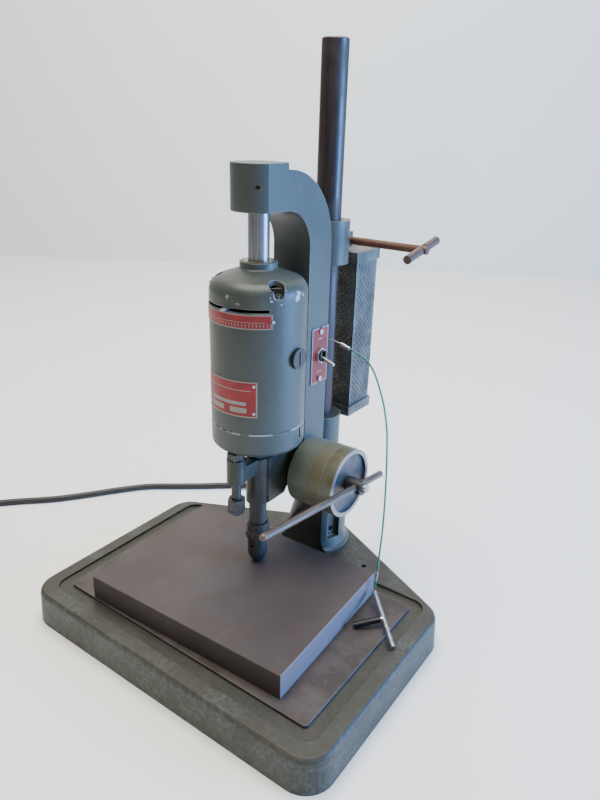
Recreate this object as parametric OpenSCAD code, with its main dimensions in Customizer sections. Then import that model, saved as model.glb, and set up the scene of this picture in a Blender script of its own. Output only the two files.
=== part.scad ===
// Small sensitive drill press: a motor unit slides on a guide rod under a cast
// head frame, the frame is clamped to a column, and the column stands on a cast base.
// Origin: on the bench, on the spindle axis. +Z up, +X machine's right, +Y to the rear.

/* [Base] */
// Width of the base at the bench
base_w = 364.8; // [330:0.2:440]
// From the spindle axis to the front of the base
base_front = 156; // [150:1:190]
// From the spindle axis to the end of the straight sides
base_side_end = 71; // [60:1:85]
// From the column axis to the rear tip of the base
base_tip = 52; // [50:1:70]
// Height of the base
base_h = 36; // [30:1:45]
// Wall thickness of the base
base_wall = 6; // [4:0.5:9]
// Radius of the base's corners
base_corner_r = 28; // [15:1:40]
// Half width of the machined pad
pad_half_w = 151; // [135:1:155]
// From the spindle axis to the front edge of the pad
pad_front = 124; // [110:1:128]
// From the spindle axis to the rear edge of the pad
pad_rear = 61; // [50:1:64]
// Width of the oil groove round the pad
groove_w = 13; // [8:1:14]
// Depth of the oil groove
groove_depth = 3; // [1.5:0.5:4]
// Radius of the two bench screw holes
bench_hole_r = 2.6; // [2:0.1:3.5]

// Distance of each bench screw hole from the centre line
bench_hole_x = 78; // [60:1:90]
// From the spindle axis back to the bench screw holes
bench_hole_y = 91; // [86:1:95]

/* [Work block] */
// Width of the loose work block
block_w = 231; // [180:1:250]
// Depth of the loose work block
block_d = 171; // [120:1:176]
// Thickness of the loose work block
block_t = 26; // [15:1:34]
// Angle at which the block lies on the pad
block_turn = 2.4; // [0:0.1:3]

/* [Column] */
// Radius of the column
column_r = 12.7; // [10:0.1:14]
// From the spindle axis back to the column axis
column_y = 109; // [107:1:112]
// Height of the column's top above the bench
column_top = 562; // [520:1:700]
// Radius of the pedestal's foot flange
pedestal_r = 40; // [38:0.5:44]
// Height of the pedestal
pedestal_h = 68; // [58:1:72]

/* [Head frame] */
// Half the width of the head frame's side faces
frame_half_w = 21; // [18:0.5:24]
// From the spindle axis to the front of the spine
throat = 48.8; // [48:0.2:50]
// Depth of the spine, front to rear
spine_d = 35.2; // [33:0.2:36]
// Radius of the arch's inside curve
arch_inner_r = 35.2; // [28:0.2:38]
// Radius of the arch's outside curve
arch_outer_r = 68; // [55:1:72]
// Radius of the front boss that holds the guide rod
boss_r = 24.5; // [20:0.5:27]
// Height of the front boss
boss_h = 39; // [30:1:46]
// Radius of the two bosses clamped on the column
clamp_boss_r = 22; // [19:0.5:24]
// Radius of the guide rod
guide_rod_r = 9.5; // [8:0.1:10.5]

/* [Motor unit] */
// Outside radius of the motor housing
motor_r = 44.45; // [42:0.05:46]
// Wall thickness of the motor housing
motor_wall = 3.5; // [2.5:0.1:4.5]
// Height of the end bell below the seam
bell_h = 24; // [20:1:28]
// Height of the housing's straight wall above the seam
barrel_h = 123; // [118:1:135]
// Height of the domed top above the straight wall
dome_h = 19.5; // [15:0.5:22]
// Height of the collar round the guide rod
collar_h = 6.5; // [4:0.5:9]
// Travel of the motor unit
feed_travel = 18; // [10:1:22]

/* [Spindle] */
// Radius of the quill sleeve
quill_r = 9; // [8:0.1:9.5]
// Radius of the spindle
spindle_r = 4; // [3:0.1:4.4]
// Radius of the chuck's body
chuck_r = 10.3; // [9:0.1:12]
// Radius of the chuck's sleeve ring
chuck_ring_r = 12.5; // [11.5:0.1:14]
// Radius of the depth rod
depth_rod_r = 4.8; // [4:0.1:5.4]

/* [Feed] */
// Outside radius of the spring drum
drum_r = 35.6; // [30:0.2:38]
// Number of teeth on the pinion
pinion_teeth = 24; // [20:1:24]
// Radius of the feed shaft
feed_shaft_r = 6; // [5:0.1:6.5]
// Radius of the lever rod
lever_r = 3.6; // [3:0.1:4]
// Lever length in front of the feed shaft
lever_front = 155.9; // [120:1:170]
// Lever length behind the feed shaft
lever_rear = 50.1; // [40:1:55]

/* [Speed resistor and clamp] */
// Width and depth of the perforated cage
cage_w = 42; // [36:1:46]
// Height of the cage with its two caps
cage_h = 181; // [150:1:184]
// Radius of the clamp screw
clamp_screw_r = 4; // [3:0.1:4.5]
// Length of the clamp screw's cross bar
clamp_bar_l = 61; // [40:1:70]

/* [Cords] */
// Radius of the mains cord
cord_r = 4; // [3:0.1:4.5]
// Radius of the steel tether wire
wire_r = 1; // [0.8:0.1:1.3]

/* [Hidden] */

paint = [0.36, 0.42, 0.44];
steel = [0.62, 0.63, 0.66];
dark_steel = [0.24, 0.21, 0.2];
bakelite = [0.05, 0.05, 0.055];
plate_red = [0.8, 0.12, 0.09];
cast_zinc = [0.5, 0.52, 0.53];
bronze = [0.66, 0.48, 0.22];
copper = [0.6, 0.3, 0.16];

$fn = 64;
eps = 0.01;
// Radial clearances: a part that turns or slides, and a part that is fixed in its seat
run = 0.05;
seat = 0.02;
// Gap kept between parts that move past each other
clear = 0.4;

// Heights, stacked upward from the bench
pad_z = base_h;
block_top = pad_z + block_t;
nose_gap = 1.3;
nose_z = block_top + nose_gap;
nose_h = 8.7;
chuck_body_h = 22;
chuck_ring_z = nose_z + nose_h + chuck_body_h;
chuck_ring_h = 17;
quill_z = chuck_ring_z + chuck_ring_h + 0.5;
hub_z = quill_z + 24.5;
hub_h = 50;
hub_top = hub_z + hub_h;
depth_boss_z = hub_top - 15;
depth_boss_h = 25;
depth_boss_top = depth_boss_z + depth_boss_h;
nut_h = 7;
motor_z = depth_boss_top + nut_h + 2;
seam_z = motor_z + bell_h;
shoulder_z = seam_z + barrel_h;
dome_z = shoulder_z + dome_h;
collar_z = dome_z + collar_h;
rod_show = 42.5;
boss_z = collar_z + rod_show;
boss_top = boss_z + boss_h;
beam_top = boss_top - 5.5;
motor_inner_r = motor_r - motor_wall;

// Depths and the column clamps
spine_rear = throat + spine_d;
lower_clamp_z = hub_z + 6;
lower_clamp_top = hub_top + 11;
upper_clamp_z = boss_z - 59;
upper_clamp_h = 42;
clamp_screw_y = column_y + column_r + 12.3;
clamp_screw_z = upper_clamp_z + 20;
clamp_screw_l = 91.9;
clamp_bar_tilt = 10.5;
clamp_rear = column_y + 34;
clamp_ear_w = 18;

// Feed drive: the rack stands in front of the pinion
module_mm = 1;
pinion_r = pinion_teeth * module_mm / 2;
rack_depth = 6.8;
feed_y = throat + 7;
feed_z = hub_z + 19.5;
rack_pitch_y = feed_y - pinion_r;
rack_root_y = rack_pitch_y - 1.15 * module_mm;
pinion_boss_r = pinion_r + 5;
drum_housing_w = 24;
drum_ring_w = 15;
drum_face_w = 14;
drum_ring_x = frame_half_w + drum_housing_w;
drum_face_x = drum_ring_x + drum_ring_w;
drum_front_x = drum_face_x + drum_face_w;
lever_x = drum_front_x + 9;
lever_tilt = 7.53;

// Switch in the spine's right side
switch_y = spine_rear - 14;
switch_z = seam_z + 48;
plate_w = 28;
plate_h = 58;
plate_t = 1;
toggle_tilt = 20;
switch_screw_zs = [switch_z - 24.5, switch_z + 24.5];

// Cage behind the column
cage_y = column_y + 24.6;
cage_z = lower_clamp_top - 8;
cage_cap_h = 11;
cage_sheet = 1;
cage_screw_zs = [cage_z + 4, cage_z + cage_h - 4];

// Brush gear and speed slot
brush_z = seam_z + 68;
slot_z = shoulder_z - 9;
slot_h = 3;
slot_half_angle = 51;

// Depth rod in front of the quill
depth_y = -33;
depth_nut_z = depth_boss_z - feed_travel - 0.3;

// Chuck key: one end of its bar and the end of its shank rest on the base beside the
// block, and the wire holds the bar's other end up
key_bar_r = 2.6;
key_shank_r = 3;
key_hung_end = [117.8, 43, base_h + 14];
key_low_end = [166.2, -4.2, base_h + key_bar_r + 0.5];
key_shank_end = [120.9, -1.1, base_h + key_shank_r + 0.6];
hook_z = switch_z + 11.5;
hook_route = [[12, spine_rear - 2, hook_z], [12, spine_rear + 3, hook_z],
    [15, spine_rear + 5, hook_z], [24, 91, 287.6], [33, 92, 285.6]];
ferrule_from = [33, 92, 285.6];
ferrule_to = [43, 92, 282.6];
wire_route = [[43, 92, 282.6], [54, 92.3, 279], [64, 92, 274.4], [74, 90.4, 264.5], [82.9, 88, 249.4],
    [89.8, 85.2, 236], [95.2, 82, 222.6], [99.8, 78.2, 209], [103.2, 74, 195.3], [106.6, 69.4, 180],
    [109.6, 65, 165], [112.7, 60, 148.5], [114.6, 56.6, 131], [116, 53.4, 114], [117, 50, 96.9],
    [117.2, 48.2, 80], [117, 46.8, 64.4], [117.4, 45, 54.2]];

// Mains cord: the stretch from the strain relief to the coil
relief_y = switch_y;
relief_z = seam_z + 30;
relief_l = 26;
cord_route = [[-47.1, 70, 259], [-56, 70, 259], [-66, 71.5, 256], [-74, 76, 247], [-80, 84, 230],
    [-86, 96, 206], [-92, 112, 176], [-99, 126, 145], [-107, 141, 112], [-117, 156, 78],
    [-130, 171, 46], [-146, 183, 22], [-164, 188, 9], [-183, 184, 4.3], [-203, 168, 4.2],
    [-226, 148, 4.2], [-254, 125, 4.2], [-284, 100, 4.2], [-310, 66, 4.2], [-332, 33, 4.2],
    [-358, -2, 4.2], [-384, -29, 4.2], [-406, -53, 4.2], [-424, -76, 4.2], [-434, -98, 4.2],
    [-438, -122, 4.2]];
coil_centre = [-486, -122];
coil_outer_turn_r = 48;
coil_turn_step = 8.4;
coil_h = 16.6;
// The cord's last stretch leaves the coil's top outer turn and curls round to the plug
plug_r = 13;
plug_l = 28;
plug_turn_r = coil_outer_turn_r + cord_r + plug_r + 1.5;
tail_from = -150;
tail_sweep = 100;
tail_steps = 12;
tail_route = [for (i = [0 : tail_steps]) let (k = i / tail_steps, a = tail_from - tail_sweep * k,
    r = coil_outer_turn_r + (plug_turn_r - coil_outer_turn_r) * k * k * (3 - 2 * k))
    [coil_centre.x + r * cos(a), coil_centre.y + r * sin(a), 12.6 + (plug_r + 0.3 - 12.6) * k]];
plug_turn = tail_from - tail_sweep - 90;

// ---------------------------------------------------------------- helpers

function unit(v) = v / norm(v);

// Points of a closed outline whose corners are rounded to the radii given
function rounded(points, radii, n = 8) = [
    for (i = [0 : len(points) - 1])
    let (b = points[i],
        u = unit(points[(i + len(points) - 1) % len(points)] - b),
        v = unit(points[(i + 1) % len(points)] - b),
        half = acos(u * v) / 2,
        centre = b + unit(u + v) * radii[i] / sin(half),
        p0 = b + u * radii[i] / tan(half) - centre,
        p1 = b + v * radii[i] / tan(half) - centre,
        a0 = atan2(p0.y, p0.x),
        turn = atan2(p0.x * p1.y - p0.y * p1.x, p0 * p1))
    for (k = [0 : n])
    centre + radii[i] * [cos(a0 + turn * k / n), sin(a0 + turn * k / n)]];

// Extrudes a profile drawn in (Y, Z) from x0 to x1
module yz_plate(x0, x1) {
    translate([x0, 0, 0]) rotate([90, 0, 90]) linear_extrude(x1 - x0) children();
}

// A cylinder along X from x0 to x1
module x_rod(r, x0, x1, y = 0, z = 0, faces = 64) {
    translate([x0, y, z]) rotate([0, 90, 0]) cylinder(r = r, h = x1 - x0, $fn = faces);
}

// Two directions across a route at each of its points, carried along without twist
function ring_frames(route, i = 0, last = undef) =
    i >= len(route) ? [] :
    let (t = unit(route[min(i + 1, len(route) - 1)] - route[max(i - 1, 0)]),
        seed = last == undef ? (abs(t.z) > 0.9 ? [0, 1, 0] : [0, 0, 1]) : last,
        up = unit(seed - t * (seed * t)))
    concat([[up, cross(t, up)]], ring_frames(route, i + 1, up));

// A tube of radius r swept along a route
module sweep(route, r, sides = 8) {
    frames = ring_frames(route);
    last = len(route) - 1;
    points = [for (i = [0 : last]) for (k = [0 : sides - 1])
        route[i] + r * (frames[i][0] * cos(360 * k / sides) + frames[i][1] * sin(360 * k / sides))];
    walls = [for (i = [0 : last - 1]) for (k = [0 : sides - 1])
        let (a = i * sides + k, b = i * sides + (k + 1) % sides)
        [a, a + sides, b + sides, b]];
    near_cap = [for (k = [0 : sides - 1]) k];
    far_cap = [for (k = [sides - 1 : -1 : 0]) last * sides + k];
    polyhedron(points, concat(walls, [near_cap, far_cap]), convexity = 10);
}

// A round rod between two points
module rod_between(from, to, r, faces = 48) {
    v = to - from;
    translate(from) rotate([0, acos(v.z / norm(v)), atan2(v.y, v.x)])
        cylinder(r = r, h = norm(v), $fn = faces);
}

// A plate wrapped round the motor between two heights, centred on the front
module wrapped_plate(half_angle, z0, h, t) {
    reach = motor_r * 2;
    intersection() {
        translate([0, 0, z0]) difference() {
            cylinder(r = motor_r + t, h = h, $fn = 128);
            translate([0, 0, -eps]) cylinder(r = motor_r + run, h = h + 2 * eps, $fn = 128);
        }
        translate([0, 0, z0 - 1]) linear_extrude(h + 2)
            polygon([[0, 0], [-reach * sin(half_angle), -reach * cos(half_angle)],
                [-reach, -reach * 1.4], [reach, -reach * 1.4],
                [reach * sin(half_angle), -reach * cos(half_angle)]]);
    }
}

// ---------------------------------------------------------------- base

module base_outline(inset = 0) {
    half = base_w / 2;
    tip = column_y + base_tip;
    offset(delta = -inset) polygon(rounded(
        [[-half, -base_front], [half, -base_front], [half, base_side_end], [0, tip],
            [-half, base_side_end]],
        [base_corner_r, base_corner_r, base_corner_r, base_corner_r + 10, base_corner_r]));
}

module base_level(z, inset) {
    translate([0, 0, z]) linear_extrude(eps) base_outline(inset);
}

module pad_outline(grow, corner) {
    x = pad_half_w + grow;
    y0 = -pad_front - grow;
    y1 = pad_rear + grow;
    polygon(rounded([[-x, y0], [x, y0], [x, y1], [-x, y1]], [corner, corner, corner, corner]));
}

base_top_t = base_wall + 1;
rib_t = 8;
pedestal_screw_turn = [50, 210, 330];
pedestal_screw_pcr = 28;
pedestal_screw_r = 3;

module base_casting() {
    color(paint) difference() {
        hull() {
            base_level(0, 0);
            base_level(base_h - 4, 1.8);
            base_level(base_h - 1.6, 2.7);
            base_level(base_h - eps, 5);
        }
        difference() {
            hull() {
                base_level(-1, base_wall);
                base_level(base_h - base_top_t, base_wall + 2.5);
            }
            translate([-base_w, -rib_t / 2, -2]) cube([2 * base_w, rib_t, base_h]);
            translate([-rib_t / 2, -base_w, -2]) cube([rib_t, 2 * base_w, base_h]);
        }
        translate([0, 0, base_h - groove_depth]) linear_extrude(groove_depth + 1) difference() {
            pad_outline(groove_w, 14);
            pad_outline(0, 4);
        }
        for (side = [-1, 1]) translate([side * bench_hole_x, bench_hole_y, base_h - base_top_t - 2])
            cylinder(r = bench_hole_r, h = base_top_t + 4, $fn = 32);
        for (a = pedestal_screw_turn) translate([0, column_y, base_h - base_top_t - 2]) rotate(a)
            translate([pedestal_screw_pcr, 0, 0])
                cylinder(r = pedestal_screw_r + 0.3, h = base_top_t + 4, $fn = 32);
    }
}

pedestal_z = base_h;
pedestal_front = column_y - 25;
lock_turn = -20;
lock_z = pedestal_z + 24;
lock_screw_r = 3;

module pedestal() {
    color(paint) difference() {
        union() {
            translate([0, column_y, pedestal_z]) cylinder(r = pedestal_r, h = 3.5);
            translate([0, column_y, pedestal_z + 3.5])
                cylinder(r1 = pedestal_r, r2 = pedestal_r - 4, h = 2);
            translate([0, column_y, pedestal_z + 5])
                cylinder(r1 = pedestal_r - 3, r2 = column_r + 8, h = pedestal_h - 5);
            intersection() {
                translate([0, column_y, pedestal_z]) cylinder(r = pedestal_r - 5.3, h = pedestal_h - 8);
                translate([-4, column_y - pedestal_r, pedestal_z])
                    cube([pedestal_r, 2 * pedestal_r, pedestal_h]);
            }
        }
        translate([-pedestal_r - 1, column_y - pedestal_r - 1, pedestal_z - 1])
            cube([2 * pedestal_r + 2, pedestal_front - column_y + pedestal_r + 1, pedestal_h + 2]);
        translate([0, column_y, pedestal_z + 4]) cylinder(r = column_r + run, h = pedestal_h);
        for (a = pedestal_screw_turn) translate([0, column_y, pedestal_z - 1]) rotate(a)
            translate([pedestal_screw_pcr, 0, 0]) cylinder(r = pedestal_screw_r + seat, h = 15, $fn = 32);
        translate([0, column_y, lock_z]) rotate([0, 90, lock_turn])
            cylinder(r = lock_screw_r + seat, h = pedestal_r, $fn = 32);
        translate([0, column_y, lock_z]) rotate([0, 0, lock_turn]) translate([pedestal_r - 12, -8, -9])
            cube([20, 16, pedestal_h]);
    }
}

module pedestal_screws() {
    head_h = 4;
    color(dark_steel) for (a = pedestal_screw_turn) translate([0, column_y, 0]) rotate(a)
        translate([pedestal_screw_pcr, 0, base_h - base_top_t - head_h]) {
            cylinder(r = 5, h = head_h, $fn = 32);
            cylinder(r = pedestal_screw_r, h = head_h + base_top_t + 10, $fn = 32);
        }
}

module column_lock_screw() {
    color(dark_steel) translate([0, column_y, lock_z]) rotate([0, 90, lock_turn]) difference() {
        translate([0, 0, column_r + 0.1]) cylinder(r = lock_screw_r, h = 13, $fn = 32);
        translate([0, 0, column_r + 10]) cylinder(r = 1.6, h = 5, $fn = 6);
    }
}

module column() {
    color(dark_steel) translate([0, column_y, pedestal_z + 4.2]) {
        cylinder(r = column_r, h = column_top - pedestal_z - 5.2);
        translate([0, 0, column_top - pedestal_z - 5.2]) cylinder(r1 = column_r, r2 = column_r - 1, h = 1);
    }
}

module work_block() {
    chamfer = 0.6;
    front_right = [117, -114];
    color([0.45, 0.38, 0.36]) translate([front_right.x, front_right.y, pad_z])
        rotate(block_turn) translate([-block_w, 0, 0]) hull() {
            translate([chamfer, chamfer, 0]) cube([block_w - 2 * chamfer, block_d - 2 * chamfer, block_t]);
            translate([0, 0, chamfer]) cube([block_w, block_d, block_t - 2 * chamfer]);
        }
}

// ---------------------------------------------------------------- head frame

module frame_profile() {
    inner = [throat - arch_inner_r, boss_z - arch_inner_r];
    outer = [spine_rear - arch_outer_r, beam_top - arch_outer_r];
    step_y = outer.x - 2;
    difference() {
        union() {
            intersection() {
                translate(outer) circle(arch_outer_r, $fn = 128);
                translate([outer.x, outer.y]) square(2 * arch_outer_r);
            }
            translate([0, boss_z]) square([outer.x, beam_top - boss_z]);
            translate([0, boss_z]) square([step_y, boss_h]);
            translate([throat, feed_z]) square([spine_d, outer.y - feed_z]);
        }
        translate(inner) circle(arch_inner_r, $fn = 128);
    }
}

arm_half_w = 14;

module lower_arm() {
    yz_plate(-arm_half_w, arm_half_w) polygon([[0, hub_z + 1.5], [throat - 23, hub_z + 1.5],
        [throat - 18, hub_z + 7.5], [throat + 4, hub_z + 10], [throat + 4, hub_top], [0, hub_top]]);
    translate([0, 0, hub_z]) cylinder(r = quill_r + 3, h = hub_h);
    translate([-7, depth_y, depth_boss_z]) cube([14, -depth_y, hub_top - depth_boss_z]);
    translate([0, depth_y, depth_boss_z]) cylinder(r = depth_rod_r + 4.4, h = depth_boss_h);
    x_rod(pinion_boss_r, -frame_half_w, frame_half_w, feed_y, feed_z);
}

module clamp_boss(z, h) {
    translate([0, column_y, z]) cylinder(r = clamp_boss_r, h = h);
    translate([-arm_half_w, spine_rear - 4, z]) cube([2 * arm_half_w, column_y - spine_rear + 4, h]);
}

switch_pocket = [17, 23, 44];

module head_frame() {
    slit = 2;
    color(paint) difference() {
        union() {
            yz_plate(-frame_half_w, frame_half_w) frame_profile();
            intersection() {
                translate([0, 0, boss_z]) cylinder(r = boss_r, h = boss_h, $fn = 96);
                translate([-frame_half_w, -boss_r - 1, boss_z])
                    cube([2 * frame_half_w, 2 * boss_r, boss_h]);
            }
            lower_arm();
            clamp_boss(upper_clamp_z, upper_clamp_h);
            clamp_boss(lower_clamp_z, lower_clamp_top - lower_clamp_z);
            translate([-clamp_ear_w / 2, column_y + column_r, clamp_screw_z - 8])
                cube([clamp_ear_w, clamp_rear - column_y - column_r, 16]);
        }
        translate([0, column_y, 0]) cylinder(r = column_r + run, h = boss_top + 50);
        translate([-slit / 2, column_y, upper_clamp_z - 1]) cube([slit, 60, upper_clamp_h + 2]);
        x_rod(clamp_screw_r + run, -20, 20, clamp_screw_y, clamp_screw_z, 32);
        translate([0, 0, boss_z - 1]) cylinder(r = guide_rod_r + seat, h = boss_h - 6);
        translate([0, 0, boss_z + boss_h - 18]) rotate([90, 0, 37])
            cylinder(r = 2 + seat, h = boss_r + 5, $fn = 32);
        translate([0, 0, hub_z - 10]) cylinder(r = quill_r + run, h = hub_h + 40);
        translate([0, depth_y, depth_boss_z - 1])
            cylinder(r = depth_rod_r + run, h = depth_boss_h + 2, $fn = 48);
        x_rod(feed_shaft_r + run, -frame_half_w - 1, frame_half_w + 1, feed_y, feed_z);
        x_rod(pinion_r + 1.6, -6, 6, feed_y, feed_z);
        translate([-5.6, rack_root_y - rack_depth - clear, hub_z - 20])
            cube([11.2, rack_depth + 3, hub_h + 40]);
        translate([frame_half_w - switch_pocket.x, switch_y - switch_pocket.y / 2,
            switch_z - switch_pocket.z / 2]) cube([switch_pocket.x + 1, switch_pocket.y, switch_pocket.z]);
        x_rod(5 + seat, -frame_half_w - 1, 5, relief_y, relief_z, 32);
        for (z = switch_screw_zs) x_rod(1.5 + seat, frame_half_w - 8, frame_half_w + 1, switch_y, z, 32);
        translate([12, spine_rear - 2.3, hook_z]) rotate([-90, 0, 0]) cylinder(r = 0.9, h = 5, $fn = 16);
        for (z = cage_screw_zs)
            for (x = [-12, 12]) translate([x, column_y, z]) rotate([-90, 0, 0])
                cylinder(r = 1.7 + seat, h = 40, $fn = 32);
    }
}

module guide_rod() {
    color(steel) translate([0, 0, slot_z + 4]) cylinder(r = guide_rod_r, h = boss_top - 7.5 - slot_z - 4);
}

module guide_rod_screw() {
    color(dark_steel) translate([0, 0, boss_top - 18]) rotate([90, 0, 37]) difference() {
        translate([0, 0, guide_rod_r + 0.1]) cylinder(r = 2, h = boss_r - guide_rod_r - 1.5, $fn = 32);
        translate([0, 0, boss_r - 4]) cylinder(r = 1.1, h = 5, $fn = 6);
    }
}

// ---------------------------------------------------------------- switch

module plate_notched(w, h, notch) {
    difference() {
        square([w, h], center = true);
        for (side = [-1, 1]) translate([0, side * h / 2]) circle(notch, $fn = 32);
    }
}

module switch_plate() {
    color(plate_red) difference() {
        translate([0, switch_y, switch_z]) yz_plate(frame_half_w, frame_half_w + plate_t)
            plate_notched(plate_w, plate_h, 2.4);
        x_rod(6 + seat, frame_half_w - 1, frame_half_w + 3, switch_y, switch_z);
        for (z = switch_screw_zs) x_rod(1.6, frame_half_w - 1, frame_half_w + 3, switch_y, z, 32);
    }
}

module switch_screws() {
    plate_x = frame_half_w + plate_t;
    color(steel) for (z = switch_screw_zs) {
        x_rod(1.5, frame_half_w - 7, plate_x, switch_y, z, 32);
        x_rod(2.6, plate_x, plate_x + 1.6, switch_y, z, 32);
    }
}

module switch_body() {
    bush_x = frame_half_w + plate_t + 5;
    color(bakelite) difference() {
        union() {
            translate([frame_half_w - 15, switch_y - 9, switch_z - 14]) cube([15, 18, 28]);
            x_rod(6, frame_half_w - 1, bush_x, switch_y, switch_z);
        }
        translate([frame_half_w - 6, switch_y - 3, switch_z - 5]) cube([15, 6, 10]);
    }
}

module switch_nut() {
    color(steel) difference() {
        x_rod(8, frame_half_w + plate_t, frame_half_w + plate_t + 3, switch_y, switch_z, 6);
        x_rod(6 + seat, frame_half_w, frame_half_w + plate_t + 4, switch_y, switch_z);
    }
}

toggle_pivot_x = frame_half_w - 1;

module toggle_lever() {
    color(steel) translate([toggle_pivot_x, switch_y, switch_z]) rotate([0, 90 + toggle_tilt, 0]) {
        sphere(r = 2.3, $fn = 32);
        cylinder(r1 = 1.4, r2 = 2.1, h = 19, $fn = 32);
        translate([0, 0, 19]) sphere(r = 2.1, $fn = 32);
    }
}

// ---------------------------------------------------------------- column clamp

module clamp_screw() {
    color([0.32, 0.2, 0.15]) difference() {
        x_rod(clamp_screw_r, -13, clamp_screw_l + 6, clamp_screw_y, clamp_screw_z);
        translate([clamp_screw_l, clamp_screw_y, clamp_screw_z]) rotate([-90 + clamp_bar_tilt, 0, 0])
            translate([0, 0, -10]) cylinder(r = 3.2 + seat, h = 20, $fn = 32);
    }
    shoulder_x = clamp_ear_w / 2 + 0.1;
    color([0.32, 0.2, 0.15])
        x_rod(clamp_screw_r + 0.7, shoulder_x, shoulder_x + 4, clamp_screw_y, clamp_screw_z);
}

module clamp_bar() {
    color([0.4, 0.3, 0.28]) translate([clamp_screw_l, clamp_screw_y, clamp_screw_z])
        rotate([-90 + clamp_bar_tilt, 0, 0]) {
            cylinder(r = 3.2, h = 12, center = true, $fn = 32);
            for (side = [0, 1]) mirror([0, 0, side]) translate([0, 0, 5])
                cylinder(r = 4.2, h = clamp_bar_l / 2 - 5, $fn = 48);
        }
}

// ---------------------------------------------------------------- speed resistor cage

module cage_shell() {
    z0 = cage_z + cage_cap_h - 3;
    h = cage_h - 2 * cage_cap_h + 6;
    color(cast_zinc) difference() {
        translate([-cage_w / 2, cage_y, z0]) cube([cage_w, cage_w, h]);
        translate([-cage_w / 2 + cage_sheet, cage_y + cage_sheet, z0 - 1])
            cube([cage_w - 2 * cage_sheet, cage_w - 2 * cage_sheet, h + 2]);
    }
}

// A tray that closes one end of the cage, with its front wall against a clamp boss
module cage_cap(up) {
    lip = 1.6;
    gap = 0.3;
    outer = cage_w + 2 * (lip + gap);
    front = column_y + clamp_boss_r + 0.1;
    color(cast_zinc) difference() {
        translate([-outer / 2, front, 0]) cube([outer, cage_y + cage_w + lip + gap - front, cage_cap_h]);
        translate([-cage_w / 2 - gap, cage_y - gap, up ? lip : -1])
            cube([cage_w + 2 * gap, cage_w + 2 * gap, cage_cap_h - lip + 1]);
        for (x = [-12, 12]) translate([x, front - 1, up ? 4 : cage_cap_h - 4]) rotate([-90, 0, 0])
            cylinder(r = 1.8, h = 12, $fn = 32);
    }
}

module cage_top_cap() { translate([0, 0, cage_z + cage_h - cage_cap_h]) cage_cap(false); }
module cage_bottom_cap() { translate([0, 0, cage_z]) cage_cap(true); }

module cage_screws() {
    shank_from = column_y + sqrt(clamp_boss_r * clamp_boss_r - 144) - 6;
    shank_to = cage_y - 0.35;
    color(steel) for (z = cage_screw_zs)
        for (x = [-12, 12]) translate([x, shank_from, z]) rotate([-90, 0, 0])
            cylinder(r = 1.7, h = shank_to - shank_from, $fn = 32);
}

module resistor() {
    centre_y = cage_y + cage_w / 2;
    core_r = 12;
    color([0.75, 0.7, 0.6]) difference() {
        union() {
            translate([0, centre_y, cage_z + 1.7]) cylinder(r = core_r, h = cage_h - 3.4);
            for (i = [0 : 7]) translate([0, centre_y, cage_z + 22 + 18 * i])
                cylinder(r = core_r + 2, h = 10);
        }
        translate([0, centre_y, cage_z]) cylinder(r = 5, h = cage_h);
    }
}

// ---------------------------------------------------------------- feed drum and lever

module drum_housing() {
    color(paint) difference() {
        x_rod(drum_r - 0.6, frame_half_w, drum_ring_x, feed_y, feed_z, 96);
        x_rod(drum_r - 5, frame_half_w + 5, drum_ring_x + 1, feed_y, feed_z, 96);
        x_rod(feed_shaft_r + run, frame_half_w - 1, drum_ring_x, feed_y, feed_z);
    }
}

module drum_ring() {
    color([0.4, 0.42, 0.38]) difference() {
        x_rod(drum_r, drum_ring_x, drum_face_x, feed_y, feed_z, 96);
        x_rod(drum_r - 5, drum_ring_x - 1, drum_face_x + 1, feed_y, feed_z, 96);
    }
}

module drum_face() {
    rim = 4.5;
    recess = 3;
    color(steel) difference() {
        x_rod(drum_r, drum_face_x, drum_front_x, feed_y, feed_z, 96);
        x_rod(drum_r - rim, drum_front_x - recess, drum_front_x + 1, feed_y, feed_z, 96);
        x_rod(drum_r - 5, drum_face_x - 1, drum_front_x - recess - 4, feed_y, feed_z, 96);
        x_rod(feed_shaft_r + run, drum_face_x - 1, drum_front_x + 1, feed_y, feed_z);
    }
}

// A flat spiral ribbon, drawn as one closed outline out along one face and back along the other
module return_spring() {
    turns = 4;
    steps = 24 * turns;
    ribbon = 0.8;
    r0 = feed_shaft_r + 0.3;
    r1 = drum_r - 5 - ribbon - 0.3;
    out = [for (i = [0 : steps]) let (a = 360 * turns * i / steps, r = r0 + (r1 - r0) * i / steps) r *
        [cos(a), sin(a)]];
    back = [for (i = [steps : -1 : 0]) let
        (a = 360 * turns * i / steps, r = r0 + ribbon + (r1 - r0) * i / steps)
        r * [cos(a), sin(a)]];
    color(dark_steel) translate([0, feed_y, feed_z])
        yz_plate(frame_half_w + 6, drum_face_x + 2) polygon(concat(out, back));
}

module feed_shaft() {
    hub_r = 7.6;
    color(dark_steel) difference() {
        union() {
            x_rod(feed_shaft_r, -frame_half_w + 1, drum_front_x - 1, feed_y, feed_z);
            x_rod(hub_r, drum_front_x - 2, lever_x + 7, feed_y, feed_z);
        }
        translate([lever_x, feed_y, feed_z]) rotate([90 - lever_tilt, 0, 0])
            translate([0, 0, -20]) cylinder(r = lever_r + seat, h = 40, $fn = 48);
        x_rod(1.8 + seat, lever_x, lever_x + 8, feed_y, feed_z, 32);
    }
}

module gear_outline(teeth, thick) {
    pitch_r = teeth * module_mm / 2;
    root_r = pitch_r - 1.2 * module_mm;
    tip_r = pitch_r + 0.85 * module_mm;
    half = 90 / teeth - thick;
    polygon([for (i = [0 : teeth - 1]) let (a = 180 + 360 * i / teeth)
        for (p = [[root_r, -1.45], [pitch_r, -1], [tip_r, -0.45], [tip_r, 0.45], [pitch_r, 1],
            [root_r, 1.45]])
        p.x * [cos(a + p.y * half), sin(a + p.y * half)]]);
}

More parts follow.
